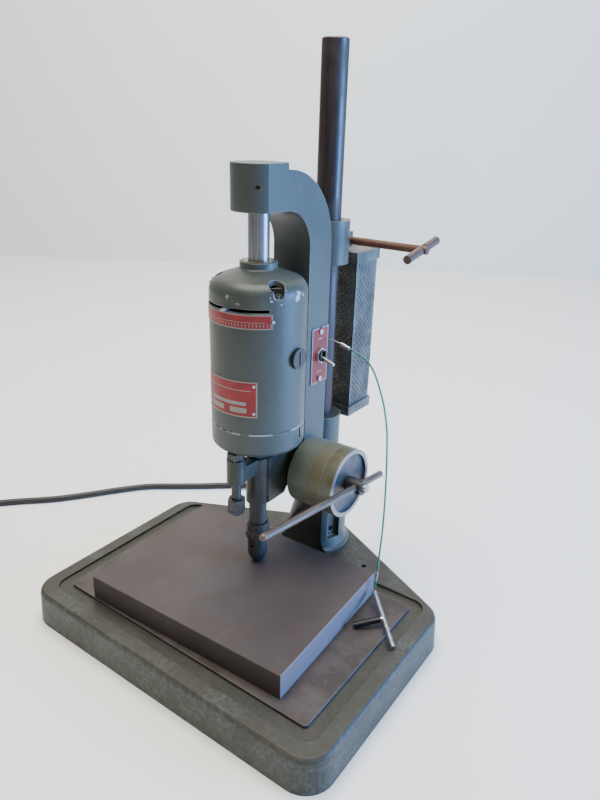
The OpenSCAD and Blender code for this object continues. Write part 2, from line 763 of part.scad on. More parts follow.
module feed_pinion() {
    color(steel) translate([0, feed_y, feed_z]) difference() {
        yz_plate(-5, 5) gear_outline(pinion_teeth, 0.9);
        x_rod(feed_shaft_r + seat, -6, 6);
    }
}

module lever_rod() {
    color([0.45, 0.38, 0.37]) translate([lever_x, feed_y, feed_z]) rotate([90 - lever_tilt, 0, 0]) {
        translate([0, 0, -lever_rear + lever_r])
            cylinder(r = lever_r, h = lever_front + lever_rear - 2 * lever_r, $fn = 48);
        translate([0, 0, lever_front - lever_r]) sphere(r = lever_r, $fn = 48);
        translate([0, 0, -lever_rear + lever_r]) sphere(r = lever_r, $fn = 48);
    }
}

module lever_knob() {
    knob_x = lever_x + 7.1;
    color(steel) difference() {
        union() {
            x_rod(1.8, lever_x + lever_r + 0.1, knob_x + 1, feed_y, feed_z, 32);
            x_rod(4.4, knob_x, knob_x + 4, feed_y, feed_z);
        }
        translate([knob_x + 2.8, feed_y - 0.6, feed_z - 5]) cube([3, 1.2, 10]);
    }
}

// ---------------------------------------------------------------- motor unit, fixed parts

collar_r = 17;
bush_r = guide_rod_r + 3;
sleeve_r = bush_r + 4;
sleeve_z = slot_z - 5;
screw_turns = [for (i = [0 : 2]) -27.6 - 120 * i];
screw_pcr = motor_r - 6.2;
screw_floor_z = shoulder_z + 1;
lug_r = 5;

module housing_profile() {
    shoulder_r = 14;
    edge = motor_r - shoulder_r;
    outer = [for (a = [0 : 7 : 70]) [edge + shoulder_r * cos(a), shoulder_z + shoulder_r * sin(a)]];
    inner = [for (a = [70 : -7 : 0])
        [edge + (shoulder_r - motor_wall) * cos(a), shoulder_z - 1 + (shoulder_r - motor_wall) * sin(a)]];
    polygon(concat([[motor_inner_r, seam_z], [motor_r - 0.5, seam_z], [motor_r, seam_z + 0.5]], outer,
        [[collar_r + 1, dome_z], [collar_r, dome_z + 1], [collar_r, collar_z - 0.6],
            [collar_r - 0.6, collar_z],
            [bush_r + seat, collar_z], [bush_r + seat, sleeve_z], [sleeve_r, sleeve_z],
            [sleeve_r, dome_z - 4]], inner));
}

module motor_housing() {
    lug_h = 40;
    pocket_r = 7;
    color(paint) difference() {
        union() {
            rotate_extrude($fn = 128) housing_profile();
            for (a = screw_turns) rotate(a) translate([screw_pcr - 0.6, 0, screw_floor_z - lug_h])
                cylinder(r = lug_r, h = lug_h, $fn = 32);
            intersection() {
                cylinder(r = motor_r - 1, h = shoulder_z + 30);
                for (a = screw_turns) rotate(a) translate([screw_pcr, 0, screw_floor_z - 3])
                    cylinder(r = pocket_r + 1.5, h = 3 + pocket_r, $fn = 48);
            }
        }
        for (a = screw_turns) rotate(a) translate([screw_pcr, 0, 0]) {
            translate([0, 0, screw_floor_z]) cylinder(r = pocket_r, h = 40, $fn = 48);
            translate([0, 0, screw_floor_z - lug_h - 1]) cylinder(r = 2 + seat, h = lug_h + 2, $fn = 32);
        }
        translate([0, 0, slot_z - slot_h / 2]) intersection() {
            difference() {
                cylinder(r = motor_r + 2, h = slot_h);
                translate([0, 0, -1]) cylinder(r = motor_inner_r - 3, h = slot_h + 2);
            }
            linear_extrude(slot_h)
                polygon([[0, 0], [-80 * sin(slot_half_angle), -80 * cos(slot_half_angle)],
                [-80, -120], [80, -120], [80 * sin(slot_half_angle), -80 * cos(slot_half_angle)]]);
        }
        x_rod(5 + seat, -motor_r - 2, motor_r + 2, 0, brush_z, 48);
    }
}

module end_bell() {
    foot_r = 5;
    hub_out = 15;
    bearing_seat = 11;
    floor_t = 4;
    color(paint) difference() {
        rotate_extrude($fn = 128) polygon(concat(
            [[quill_r + seat, motor_z]],
            [for (a = [-90 : 15 : 0])
                [motor_r - foot_r + foot_r * cos(a), motor_z + foot_r + foot_r * sin(a)]],
            [[motor_r, seam_z - 0.7], [motor_r - 0.6, seam_z - 0.05], [motor_inner_r, seam_z - 0.05],
                [motor_inner_r, motor_z + floor_t + 3], [motor_inner_r - 3, motor_z + floor_t],
                [hub_out, motor_z + floor_t], [hub_out, motor_z + 13], [bearing_seat + seat, motor_z + 13],
                [bearing_seat + seat, motor_z + 3.5], [quill_r + seat, motor_z + 3.5]]));
        translate([0, depth_y, motor_z - 1]) cylinder(r = depth_rod_r + seat, h = floor_t + 2, $fn = 48);
        translate([0, 0, motor_z + 11]) rotate(10) translate([motor_inner_r - 5, -1.5, 0])
            cube([12, 3, bell_h - 13]);
        for (x = [-2.5, 2.5]) translate([x, rack_root_y - rack_depth / 2, motor_z - 1])
            cylinder(r = 1.2 + seat, h = floor_t + 2, $fn = 24);
    }
}

module guide_bush() {
    color(bronze) translate([0, 0, sleeve_z + 0.5]) difference() {
        cylinder(r = bush_r, h = collar_z - sleeve_z - 0.2);
        translate([0, 0, -1]) cylinder(r = guide_rod_r + run, h = collar_z - sleeve_z + 2);
    }
}

bearing_out = 11;
plate_z = brush_z + 13;

module bearing_plate() {
    color(cast_zinc) difference() {
        union() {
            translate([0, 0, plate_z]) cylinder(r = motor_inner_r - run, h = 4, $fn = 128);
            translate([0, 0, plate_z - 4]) cylinder(r = bearing_out + 4, h = 8);
        }
        translate([0, 0, plate_z - 5]) cylinder(r = bearing_out + seat, h = 12);
        for (a = screw_turns) rotate(a) translate([screw_pcr - 0.6, 0, plate_z - 1])
            cylinder(r = lug_r + clear, h = 8, $fn = 32);
        for (i = [0 : 5]) rotate(60 * i + 3) translate([25, 0, plate_z - 1])
            cylinder(r = 5, h = 8, $fn = 32);
    }
}

module bearing_ring(z, h, outer) {
    translate([0, 0, z]) difference() {
        cylinder(r = outer, h = h);
        translate([0, 0, -1]) cylinder(r = spindle_r + run, h = h + 2, $fn = 48);
    }
}

quill_bore_r = quill_r - 3;

module bearings() {
    color(steel) {
        bearing_ring(plate_z - 4, 8, bearing_out);
        bearing_ring(motor_z + 4, 8, bearing_out);
        bearing_ring(quill_z + 1, 8, quill_bore_r - seat);
    }
}

stator_z = seam_z + 12;
stator_h = 44;

module stator() {
    color(dark_steel) translate([0, 0, stator_z]) difference() {
        cylinder(r = motor_inner_r - run, h = stator_h, $fn = 128);
        translate([0, 0, -1]) cylinder(r = 25, h = stator_h + 2);
        for (side = [0, 180]) rotate(side) translate([23, -9, -1]) cube([11, 18, stator_h + 2]);
    }
}

module brush_holders() {
    color(bronze) for (side = [0, 180]) rotate(side) difference() {
        x_rod(5, 13.5, motor_r - 0.5, 0, brush_z, 48);
        x_rod(2.9 + run, 13, motor_r, 0, brush_z, 32);
    }
}

commutator_r = 10.5;

module brushes() {
    color([0.1, 0.1, 0.1]) for (side = [0, 180]) rotate(side)
        x_rod(2.9, commutator_r + 0.3, 26, 0, brush_z, 32);
}

module brush_caps() {
    cap_r = 9.5;
    color(bakelite) for (side = [0, 180]) rotate(side) difference() {
        union() {
            intersection() {
                x_rod(cap_r, motor_r - 3, motor_r + 3, 0, brush_z);
                difference() {
                    translate([motor_r - 3, -cap_r, brush_z - cap_r]) cube([6, 2 * cap_r, 2 * cap_r]);
                    translate([0, 0, brush_z - cap_r - 1])
                        cylinder(r = motor_r + seat, h = 2 * cap_r + 2, $fn = 128);
                }
            }
            x_rod(2.8, 27, motor_r + 1, 0, brush_z, 32);
        }
        translate([motor_r + 2, -0.8, brush_z - 7]) cube([3, 1.6, 14]);
    }
}

scale_z = slot_z - 15.5;
scale_h = 13;
name_z = motor_z + 41;
name_h = 34;
plate_thick = 0.6;

module motor_plates() {
    color(plate_red) difference() {
        wrapped_plate(54.6, scale_z, scale_h, plate_thick);
        for (side = [-1, 1]) rotate(side * 54.6) translate([0, -motor_r + 3, scale_z + scale_h / 2])
            rotate([90, 0, 0]) cylinder(r = 2, h = 8, $fn = 24);
    }
    color(plate_red) difference() {
        wrapped_plate(38, name_z, name_h, plate_thick);
        for (side = [-1, 1]) for (z = [name_z + 4, name_z + name_h - 4]) rotate(side * 34)
            translate([0, -motor_r + 3, z]) rotate([90, 0, 0]) cylinder(r = 1.3, h = 8, $fn = 24);
    }
}

module plate_rivets() {
    color(steel) {
        for (side = [-1, 1]) for (z = [name_z + 4, name_z + name_h - 4]) rotate(side * 34)
            translate([0, -motor_r - 1.2, z]) rotate([-90, 0, 0]) cylinder(r = 1.2, h = 1.15, $fn = 24);
        for (side = [-1, 1]) rotate(side * 55.2) translate([0, -motor_r - 1, scale_z + scale_h / 2])
            rotate([-90, 0, 0]) cylinder(r = 1.4, h = 0.96, $fn = 24);
    }
}

module housing_screws() {
    color(dark_steel) for (a = screw_turns) rotate(a) translate([screw_pcr, 0, screw_floor_z])
        difference() {
        union() {
            translate([0, 0, -38]) cylinder(r = 2, h = 38.1, $fn = 32);
            cylinder(r = 4.2, h = 3, $fn = 32);
        }
        translate([-5, -0.6, 1.8]) cube([10, 1.2, 2]);
    }
}

module quill() {
    color([0.4, 0.4, 0.42]) translate([0, 0, quill_z]) difference() {
        cylinder(r = quill_r, h = motor_z + 3.4 - quill_z);
        translate([0, 0, -1]) cylinder(r = quill_bore_r, h = motor_z + 6 - quill_z);
    }
}

// Rack hung from the end bell; a gap faces the pinion's front tooth
module feed_rack() {
    pitch = PI * module_mm;
    low = feed_z - feed_travel - 5;
    high = motor_z - 0.02;
    reach = 2 * module_mm;
    tooth = pitch / 2 - 0.34;
    lean = reach * tan(20) / 2;
    color(steel) {
        translate([-4.6, rack_root_y - rack_depth, low]) cube([9.2, rack_depth, high - low]);
        yz_plate(-4.6, 4.6) for
            (i = [-floor((feed_z - low) / pitch - 0.6) : floor((high - feed_z) / pitch - 0.6)])
            let (z = feed_z + (i + 0.5) * pitch)
            if (z - tooth > low && z + tooth < high - 1)
            polygon([[rack_root_y - 0.1, z - tooth / 2 - lean],
                [rack_root_y + reach - 0.1, z - tooth / 2 + lean],
                [rack_root_y + reach - 0.1, z + tooth / 2 - lean],
                    [rack_root_y - 0.1, z + tooth / 2 + lean]]);
        for (x = [-2.5, 2.5]) translate([x, rack_root_y - rack_depth / 2, high - 1])
            cylinder(r = 1.2, h = 4.5, $fn = 24);
    }
}

module depth_rod() {
    low = depth_nut_z - 2 * nut_h - 4;
    color(steel) translate([0, depth_y, low]) {
        translate([0, 0, 0.8]) cylinder(r = depth_rod_r, h = motor_z + 3.8 - low, $fn = 48);
        cylinder(r1 = depth_rod_r - 0.8, r2 = depth_rod_r, h = 0.81, $fn = 48);
    }
}

module hex_nut(z, across, h) {
    translate([0, depth_y, z]) difference() {
        cylinder(r = across / sqrt(3), h = h, $fn = 6);
        translate([0, 0, -1]) cylinder(r = depth_rod_r + seat, h = h + 2, $fn = 48);
    }
}

module depth_nuts() {
    across = 15.5;
    color(dark_steel) {
        hex_nut(depth_boss_top, across, nut_h);
        hex_nut(depth_nut_z - nut_h, across, nut_h);
        hex_nut(depth_nut_z - 2 * nut_h - 0.3, across, nut_h);
    }
}

// ---------------------------------------------------------------- turning parts

module speed_ring() {
    ring_t = 1.8;
    color([0.75, 0.76, 0.78]) translate([0, 0, slot_z - ring_t / 2]) {
        difference() {
            cylinder(r = screw_pcr - lug_r - 1, h = ring_t, $fn = 96);
            translate([0, 0, -1]) cylinder(r = sleeve_r + run, h = ring_t + 2, $fn = 96);
        }
        translate([-2, -motor_r - 5, 0]) cube([4, 20, ring_t]);
    }
}

spindle_z = chuck_ring_z - 4;

module spindle() {
    color(steel) translate([0, 0, spindle_z])
        cylinder(r = spindle_r, h = plate_z + 5 - spindle_z, $fn = 48);
}

module armature() {
    core_r = 24;
    slots = 12;
    color([0.4, 0.3, 0.22]) translate([0, 0, stator_z]) difference() {
        cylinder(r = core_r, h = stator_h);
        translate([0, 0, -1]) cylinder(r = spindle_r + seat, h = stator_h + 2, $fn = 48);
        for (i = [0 : slots - 1]) rotate(360 * i / slots) translate([core_r - 4, -1.5, -1])
            cube([6, 3, stator_h + 2]);
    }
}

module commutator() {
    color(copper) translate([0, 0, brush_z - 7]) difference() {
        cylinder(r = commutator_r, h = 14);
        translate([0, 0, -1]) cylinder(r = spindle_r + seat, h = 16, $fn = 48);
    }
}

module fan() {
    fan_z = seam_z + 1;
    color([0.6, 0.6, 0.58]) translate([0, 0, fan_z]) difference() {
        union() {
            cylinder(r = 8, h = 9);
            cylinder(r = 34, h = 1.4);
            for (i = [0 : 9]) rotate(36 * i) translate([7, -0.6, 0]) cube([26, 1.2, 8]);
        }
        translate([0, 0, -1]) cylinder(r = spindle_r + seat, h = 12, $fn = 48);
    }
}

module chuck_body() {
    bore = 3.4;
    color(dark_steel) difference() {
        rotate_extrude($fn = 96)
            polygon([[bore, nose_z], [5.4, nose_z], [6.2, nose_z + 0.8], [chuck_r - 0.5, nose_z + nose_h],
            [chuck_r, nose_z + nose_h + 1], [chuck_r, chuck_ring_z - 0.05], [bore, chuck_ring_z - 0.05]]);
        translate([0, 0, spindle_z - 0.2]) cylinder(r = spindle_r + seat, h = 10, $fn = 48);
        for (i = [0 : 2]) rotate(120 * i + 30) translate([0, 0, nose_z + nose_h + 12]) rotate([0, 90, 0])
            cylinder(r = 2, h = chuck_r + 2, $fn = 32);
    }
}

module chuck_ring() {
    step = 7;
    color(dark_steel) difference() {
        union() {
            translate([0, 0, chuck_ring_z]) cylinder(r = chuck_ring_r, h = step, $fn = 96);
            translate([0, 0, chuck_ring_z + step])
                cylinder(r = chuck_ring_r - 1.4, h = chuck_ring_h - step, $fn = 96);
        }
        translate([0, 0, chuck_ring_z - 1]) cylinder(r = spindle_r + seat, h = chuck_ring_h + 2, $fn = 48);
    }
}

// Three closed jaws, each with its own third of the bore
module chuck_jaws() {
    color(steel) for (i = [0 : 2]) rotate(120 * i) intersection() {
        difference() {
            translate([0, 0, nose_z + 0.4]) cylinder(r = 3.3, h = 18, $fn = 48);
            translate([0, 0, nose_z]) cylinder(r = 0.4, h = 20, $fn = 24);
        }
        linear_extrude(nose_z + 30) polygon([[0.15, 0.1], [6, 0.1], [6, 6], [-2.6, 5.2], [0.03, 0.16]]);
    }
}

// ---------------------------------------------------------------- tether and key

module tether_hook() {
    color(steel) {
        sweep(hook_route, 0.8);
        sweep([ferrule_from, ferrule_to], 1.7);
    }
}

module tether_wire() {
    color([0.1, 0.4, 0.34]) sweep(wire_route, wire_r);
}

module chuck_key() {
    middle = (key_hung_end + key_low_end) / 2;
    color(steel) {
        rod_between(key_hung_end, key_low_end, key_bar_r);
        rod_between(middle, key_shank_end, key_shank_r);
    }
}

// ---------------------------------------------------------------- mains cord

module cord_relief() {
    wall_x = -frame_half_w;
    color(bakelite) {
        x_rod(5, wall_x, wall_x + 6, relief_y, relief_z, 48);
        x_rod(7.5, wall_x - 3, wall_x, relief_y, relief_z, 48);
        translate([wall_x - 3, relief_y, relief_z]) rotate([0, -90, 0])
            cylinder(r1 = 6.6, r2 = cord_r + 0.6, h = relief_l - 3, $fn = 48);
    }
}

module cord_tube() {
    color(bakelite) {
        sweep(cord_route, cord_r);
        sweep(tail_route, cord_r);
    }
}

module cord_coil() {
    in_r = coil_outer_turn_r - coil_turn_step - cord_r;
    out_r = coil_outer_turn_r + cord_r;
    edge = cord_r - 0.1;
    color(bakelite) translate([coil_centre.x, coil_centre.y, 0.2]) rotate_extrude($fn = 48)
        polygon(rounded([[in_r, 0], [out_r, 0], [out_r, coil_h], [in_r, coil_h]],
            [edge, edge, edge, edge], 4));
}

// Two-pin plug with its grip towards the cord
module mains_plug() {
    grip_l = 12;
    pin_l = 17;
    color(bakelite) translate(tail_route[tail_steps]) rotate(plug_turn) {
        translate([0.05, 0, 0]) rotate([0, 90, 0]) cylinder(r1 = 7, r2 = plug_r - 3, h = grip_l, $fn = 48);
        translate([grip_l, 0, 0]) rotate([0, 90, 0]) cylinder(r = plug_r, h = plug_l - grip_l, $fn = 48);
        for (side = [-1, 1]) translate([plug_l - 1, side * 6.4 - 0.75, -3.2]) cube([pin_l, 1.5, 6.4]);
    }
}

base_casting();
pedestal();
pedestal_screws();
column_lock_screw();
column();
work_block();
head_frame();
guide_rod();
guide_rod_screw();
switch_plate();
switch_screws();
switch_body();
switch_nut();
toggle_lever();
clamp_screw();
clamp_bar();
cage_shell();
cage_top_cap();
cage_bottom_cap();
cage_screws();
resistor();
drum_housing();
drum_ring();
drum_face();
return_spring();
feed_shaft();
feed_pinion();
lever_rod();
lever_knob();
motor_housing();
end_bell();
guide_bush();
bearing_plate();
bearings();
stator();
brush_holders();
brushes();
brush_caps();
motor_plates();
plate_rivets();
housing_screws();
quill();
feed_rack();
depth_rod();
depth_nuts();
speed_ring();
spindle();
armature();
commutator();
fan();
chuck_body();
chuck_ring();
chuck_jaws();
tether_hook();
tether_wire();
chuck_key();
cord_relief();
cord_tube();
cord_coil();
mains_plug();
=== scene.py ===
"""Bench drill press: finishes, fine pieces, cords, floor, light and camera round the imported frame."""

from __future__ import annotations

import logging
import math
from dataclasses import dataclass
from enum import Enum
from typing import Any, Sequence

import bpy
from mathutils import Matrix, Vector

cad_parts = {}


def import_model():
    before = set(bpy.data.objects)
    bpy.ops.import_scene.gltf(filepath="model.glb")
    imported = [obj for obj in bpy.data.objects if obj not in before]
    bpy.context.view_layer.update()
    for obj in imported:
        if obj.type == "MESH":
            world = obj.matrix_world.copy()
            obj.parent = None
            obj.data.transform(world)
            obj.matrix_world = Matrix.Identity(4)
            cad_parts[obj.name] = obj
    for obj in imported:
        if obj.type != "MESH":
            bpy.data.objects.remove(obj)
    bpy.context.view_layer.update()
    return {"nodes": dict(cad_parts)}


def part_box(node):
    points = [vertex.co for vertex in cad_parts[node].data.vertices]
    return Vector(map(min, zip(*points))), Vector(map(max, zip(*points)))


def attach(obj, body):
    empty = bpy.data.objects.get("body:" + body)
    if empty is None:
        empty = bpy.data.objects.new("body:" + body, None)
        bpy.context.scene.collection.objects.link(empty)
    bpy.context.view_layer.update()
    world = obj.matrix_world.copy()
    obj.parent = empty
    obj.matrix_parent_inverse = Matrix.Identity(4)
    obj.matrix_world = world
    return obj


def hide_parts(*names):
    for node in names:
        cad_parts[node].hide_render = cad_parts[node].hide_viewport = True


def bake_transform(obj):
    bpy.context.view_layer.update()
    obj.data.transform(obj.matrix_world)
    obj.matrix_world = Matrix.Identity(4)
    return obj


LOG = logging.getLogger("drill_press")
MM = 0.001
Colour = tuple[float, float, float]
Point = tuple[float, float, float]


class Body(str, Enum):
    """The moving bodies that pieces ride on."""

    COLUMN = "column"
    HEAD = "head"


class Grain(Enum):
    """The direction that a metal's tool marks run in, as a stretch of the pattern."""

    ALONG_X = (0.03, 1.0, 1.0)
    ALONG_Y = (1.0, 0.03, 1.0)
    ALONG_Z = (1.0, 1.0, 0.03)
    NONE = (1.0, 1.0, 1.0)


# ------------------------------------------------------------------ shader sums


class Signal:
    """A shader socket that can be used in Python sums."""

    def __init__(self, recipe: Recipe, socket: bpy.types.NodeSocket) -> None:
        """Keeps the socket and the recipe that it belongs to."""
        self.recipe = recipe
        self.socket = socket

    def _math(self, operation: str, first: Any, second: Any = 0.0) -> Signal:
        """Adds a Math node on two values."""
        return self.recipe.node("ShaderNodeMath", {"operation": operation}, {0: first, 1: second})

    def __add__(self, other: Any) -> Signal:
        """Sum."""
        return self._math("ADD", self, other)

    __radd__ = __add__

    def __sub__(self, other: Any) -> Signal:
        """Difference."""
        return self._math("SUBTRACT", self, other)

    def __rsub__(self, other: Any) -> Signal:
        """Difference from a number."""
        return self._math("SUBTRACT", other, self)

    def __mul__(self, other: Any) -> Signal:
        """Product."""
        return self._math("MULTIPLY", self, other)

    __rmul__ = __mul__

    def __abs__(self) -> Signal:
        """Size without sign."""
        return self._math("ABSOLUTE", self)

    def __or__(self, other: Any) -> Signal:
        """The larger of two masks."""
        return self._math("MAXIMUM", self, other)

    def __and__(self, other: Any) -> Signal:
        """The smaller of two masks."""
        return self._math("MINIMUM", self, other)

    def __mod__(self, other: float) -> Signal:
        """Remainder, always positive."""
        return self._math("FLOORED_MODULO", self, other)

    def over(self, edge: float, soft: float) -> Signal:
        """A mask that is 1 where the value is above an edge.

        Args:
            edge: The value at the middle of the change.
            soft: Half the width of the change.

        Returns:
            The mask, from 0 to 1.
        """
        settings = {"interpolation_type": "SMOOTHSTEP", "clamp": True}
        ends = {"Value": self, "From Min": edge - soft, "From Max": edge + soft}
        return self.recipe.node("ShaderNodeMapRange", settings, ends)

    def under(self, edge: float, soft: float) -> Signal:
        """A mask that is 1 where the value is below an edge."""
        return 1 - self.over(edge, soft)


class Recipe:
    """One material that is built up from nodes."""

    def __init__(self, name: str) -> None:
        """Starts an empty material with one Principled shader."""
        self.material = bpy.data.materials.new(name)
        self.material.use_nodes = True
        self.tree = self.material.node_tree
        self.tree.nodes.clear()
        self.shader = self.tree.nodes.new("ShaderNodeBsdfPrincipled")
        output = self.tree.nodes.new("ShaderNodeOutputMaterial")
        self.tree.links.new(self.shader.outputs[0], output.inputs[0])
        self.place = self.node("ShaderNodeTexCoord", out="Object")

    def node(
        self, kind: str, settings: dict[str, Any] | None = None,
        values: dict[Any, Any] | None = None, out: Any = 0,
    ) -> Signal:
        """Adds one node.

        Args:
            kind: The node's type name.
            settings: Properties, which are set first.
            values: Input sockets by name or index, each a number, a tuple or a Signal.
            out: The name or index of the output to use.

        Returns:
            The output as a Signal.
        """
        made = self.tree.nodes.new(kind)
        for key, value in (settings or {}).items():
            setattr(made, key, value)
        for key, value in (values or {}).items():
            self.feed(made.inputs[key], value)
        return Signal(self, made.outputs[out])

    def feed(self, socket: bpy.types.NodeSocket, value: Any) -> None:
        """Links or sets one input socket."""
        if isinstance(value, Signal):
            self.tree.links.new(value.socket, socket)
        elif isinstance(value, (tuple, list)) and socket.type == "RGBA":
            socket.default_value = (*value[:3], 1.0)
        else:
            socket.default_value = value

    def axes(self) -> tuple[Signal, Signal, Signal]:
        """The place on the object, split in its three coordinates, in metres."""
        split = self.tree.nodes.new("ShaderNodeSeparateXYZ")
        self.tree.links.new(self.place.socket, split.inputs[0])
        return tuple(Signal(self, s) for s in split.outputs)

    def noise(self, scale: float, detail: float = 4.0, grain: Grain = Grain.NONE, shift: float = 0.0) -> Signal:
        """Cloudy noise, from 0 to 1.

        Args:
            scale: Features per metre.
            detail: Octaves.
            grain: The direction that it is drawn out in.
            shift: Moves the pattern, so that two aren't alike.

        Returns:
            The noise value.
        """
        at = self.node("ShaderNodeMapping", None, {
            "Vector": self.place, "Scale": grain.value, "Location": (shift, shift * 0.7, shift * 1.3)})
        return self.node("ShaderNodeTexNoise", None, {"Vector": at, "Scale": scale, "Detail": detail})

    def cells(self, scale: float) -> Signal:
        """The distance to the nearest of many scattered points."""
        return self.node("ShaderNodeTexVoronoi", {"feature": "SMOOTH_F1"}, {"Vector": self.place, "Scale": scale})

    def mix(self, share: Any, first: Any, second: Any) -> Signal:
        """A colour between two colours."""
        return self.node("ShaderNodeMix", {"data_type": "RGBA"}, {0: share, 6: first, 7: second}, out=2)

    def soft_edges(self, radius: float) -> Signal:
        """The surface's normal with its edges rounded over."""
        return self.node("ShaderNodeBevel", {"samples": 4}, {"Radius": radius})

    def edge_mask(self, rounded: Signal, least: float, soft: float) -> Signal:
        """A mask of the edges, from a rounded normal and the true one."""
        true = self.node("ShaderNodeNewGeometry", out="Normal")
        alike = self.node("ShaderNodeVectorMath", {"operation": "DOT_PRODUCT"}, {0: rounded, 1: true}, out="Value")
        return (1 - alike).over(least, soft)

    def relief(self, height: Signal, strength: float, depth: float, rounded: Signal | None = None) -> Signal:
        """A bumped normal."""
        values: dict[Any, Any] = {"Height": height, "Strength": strength, "Distance": depth}
        if rounded is not None:
            values["Normal"] = rounded
        return self.node("ShaderNodeBump", None, values, out="Normal")

    def finish(self, **inputs: Any) -> bpy.types.Material:
        """Feeds the shader and gives the material.

        Args:
            inputs: Shader sockets by name, with _ for a space.

        Returns:
            The finished material.
        """
        for key, value in inputs.items():
            self.feed(self.shader.inputs[key.replace("_", " ")], value)
        return self.material


# ------------------------------------------------------------------ finishes


@dataclass(frozen=True)
class HammeredPaint:
    """Old semi-gloss machine paint on a casting, worn at its edges.

    shoulder is the height and half width of a band that is chipped, and the grease limits are the rear and upper
    limit of the part that is black with grease and darkened as painted shade, where shadow falls on the head's lower
    front.
    """

    name: str
    colour: Colour
    dull: Colour
    grime: Colour = (0.085, 0.085, 0.06)
    bare: Colour = (0.38, 0.38, 0.375)
    edge: float = 1.1 * MM
    chips: float = 0.79
    shoulder: tuple[float, float] | None = None
    shoulder_chips: float = 0.6
    # The grease limits and colours below also stand in for painted shade on the head's lower front.
    grease_and_shade_limits: tuple[float, float] | None = None
    grease_and_shade: Colour = (0.02, 0.021, 0.017)
    old_grease_and_shade: Colour = (0.036, 0.037, 0.029)

    def make(self) -> bpy.types.Material:
        """Builds the material."""
        r = Recipe(self.name)
        cloud, patch, fleck = r.noise(7, 5), r.noise(48, 6, shift=3.1), r.noise(130, 3, shift=7.7)
        colour = r.mix(cloud.over(0.52, 0.16), self.colour, self.dull)
        colour = r.mix(patch.over(0.66, 0.1) * 0.45, colour, self.grime)
        rounded = r.soft_edges(self.edge)
        worn = r.edge_mask(rounded, 0.13, 0.08) * patch.over(0.47, 0.07)
        chipped = fleck.over(self.chips, 0.012) & cloud.over(0.5, 0.05)
        if self.shoulder is not None:
            _, _, z = r.axes()
            height, half = self.shoulder
            band = abs(z - height).under(half, half * 0.5)
            chipped = chipped | (band * r.noise(85, 5, shift=1.1).over(self.shoulder_chips, 0.015))
        mask = worn | chipped
        colour = r.mix(mask, colour, self.bare)
        # Painted shade: the lower front of the head frame, which sits in shadow, is blackened together with its
        # grease.
        if self.grease_and_shade_limits is not None:
            _, y, z = r.axes()
            grease_and_shade_mask = y.under(self.grease_and_shade_limits[0], 5 * MM) & z.under(self.grease_and_shade_limits[1], 6 * MM)
            black = r.mix(patch.over(0.5, 0.14), self.grease_and_shade, self.old_grease_and_shade)
            colour = r.mix(grease_and_shade_mask * (1 - worn * 0.5), colour, black)
        skin = r.cells(430) * 0.6 + r.noise(1500, 2) * 0.4 - mask * 0.5
        return r.finish(
            Base_Color=colour, Roughness=0.36 + patch * 0.16 + mask * 0.08, Metallic=mask * 0.55,
            Specular_IOR_Level=0.4, Normal=r.relief(skin, 0.34, 0.4 * MM, rounded),
            Coat_Weight=0.08, Coat_Roughness=0.3)


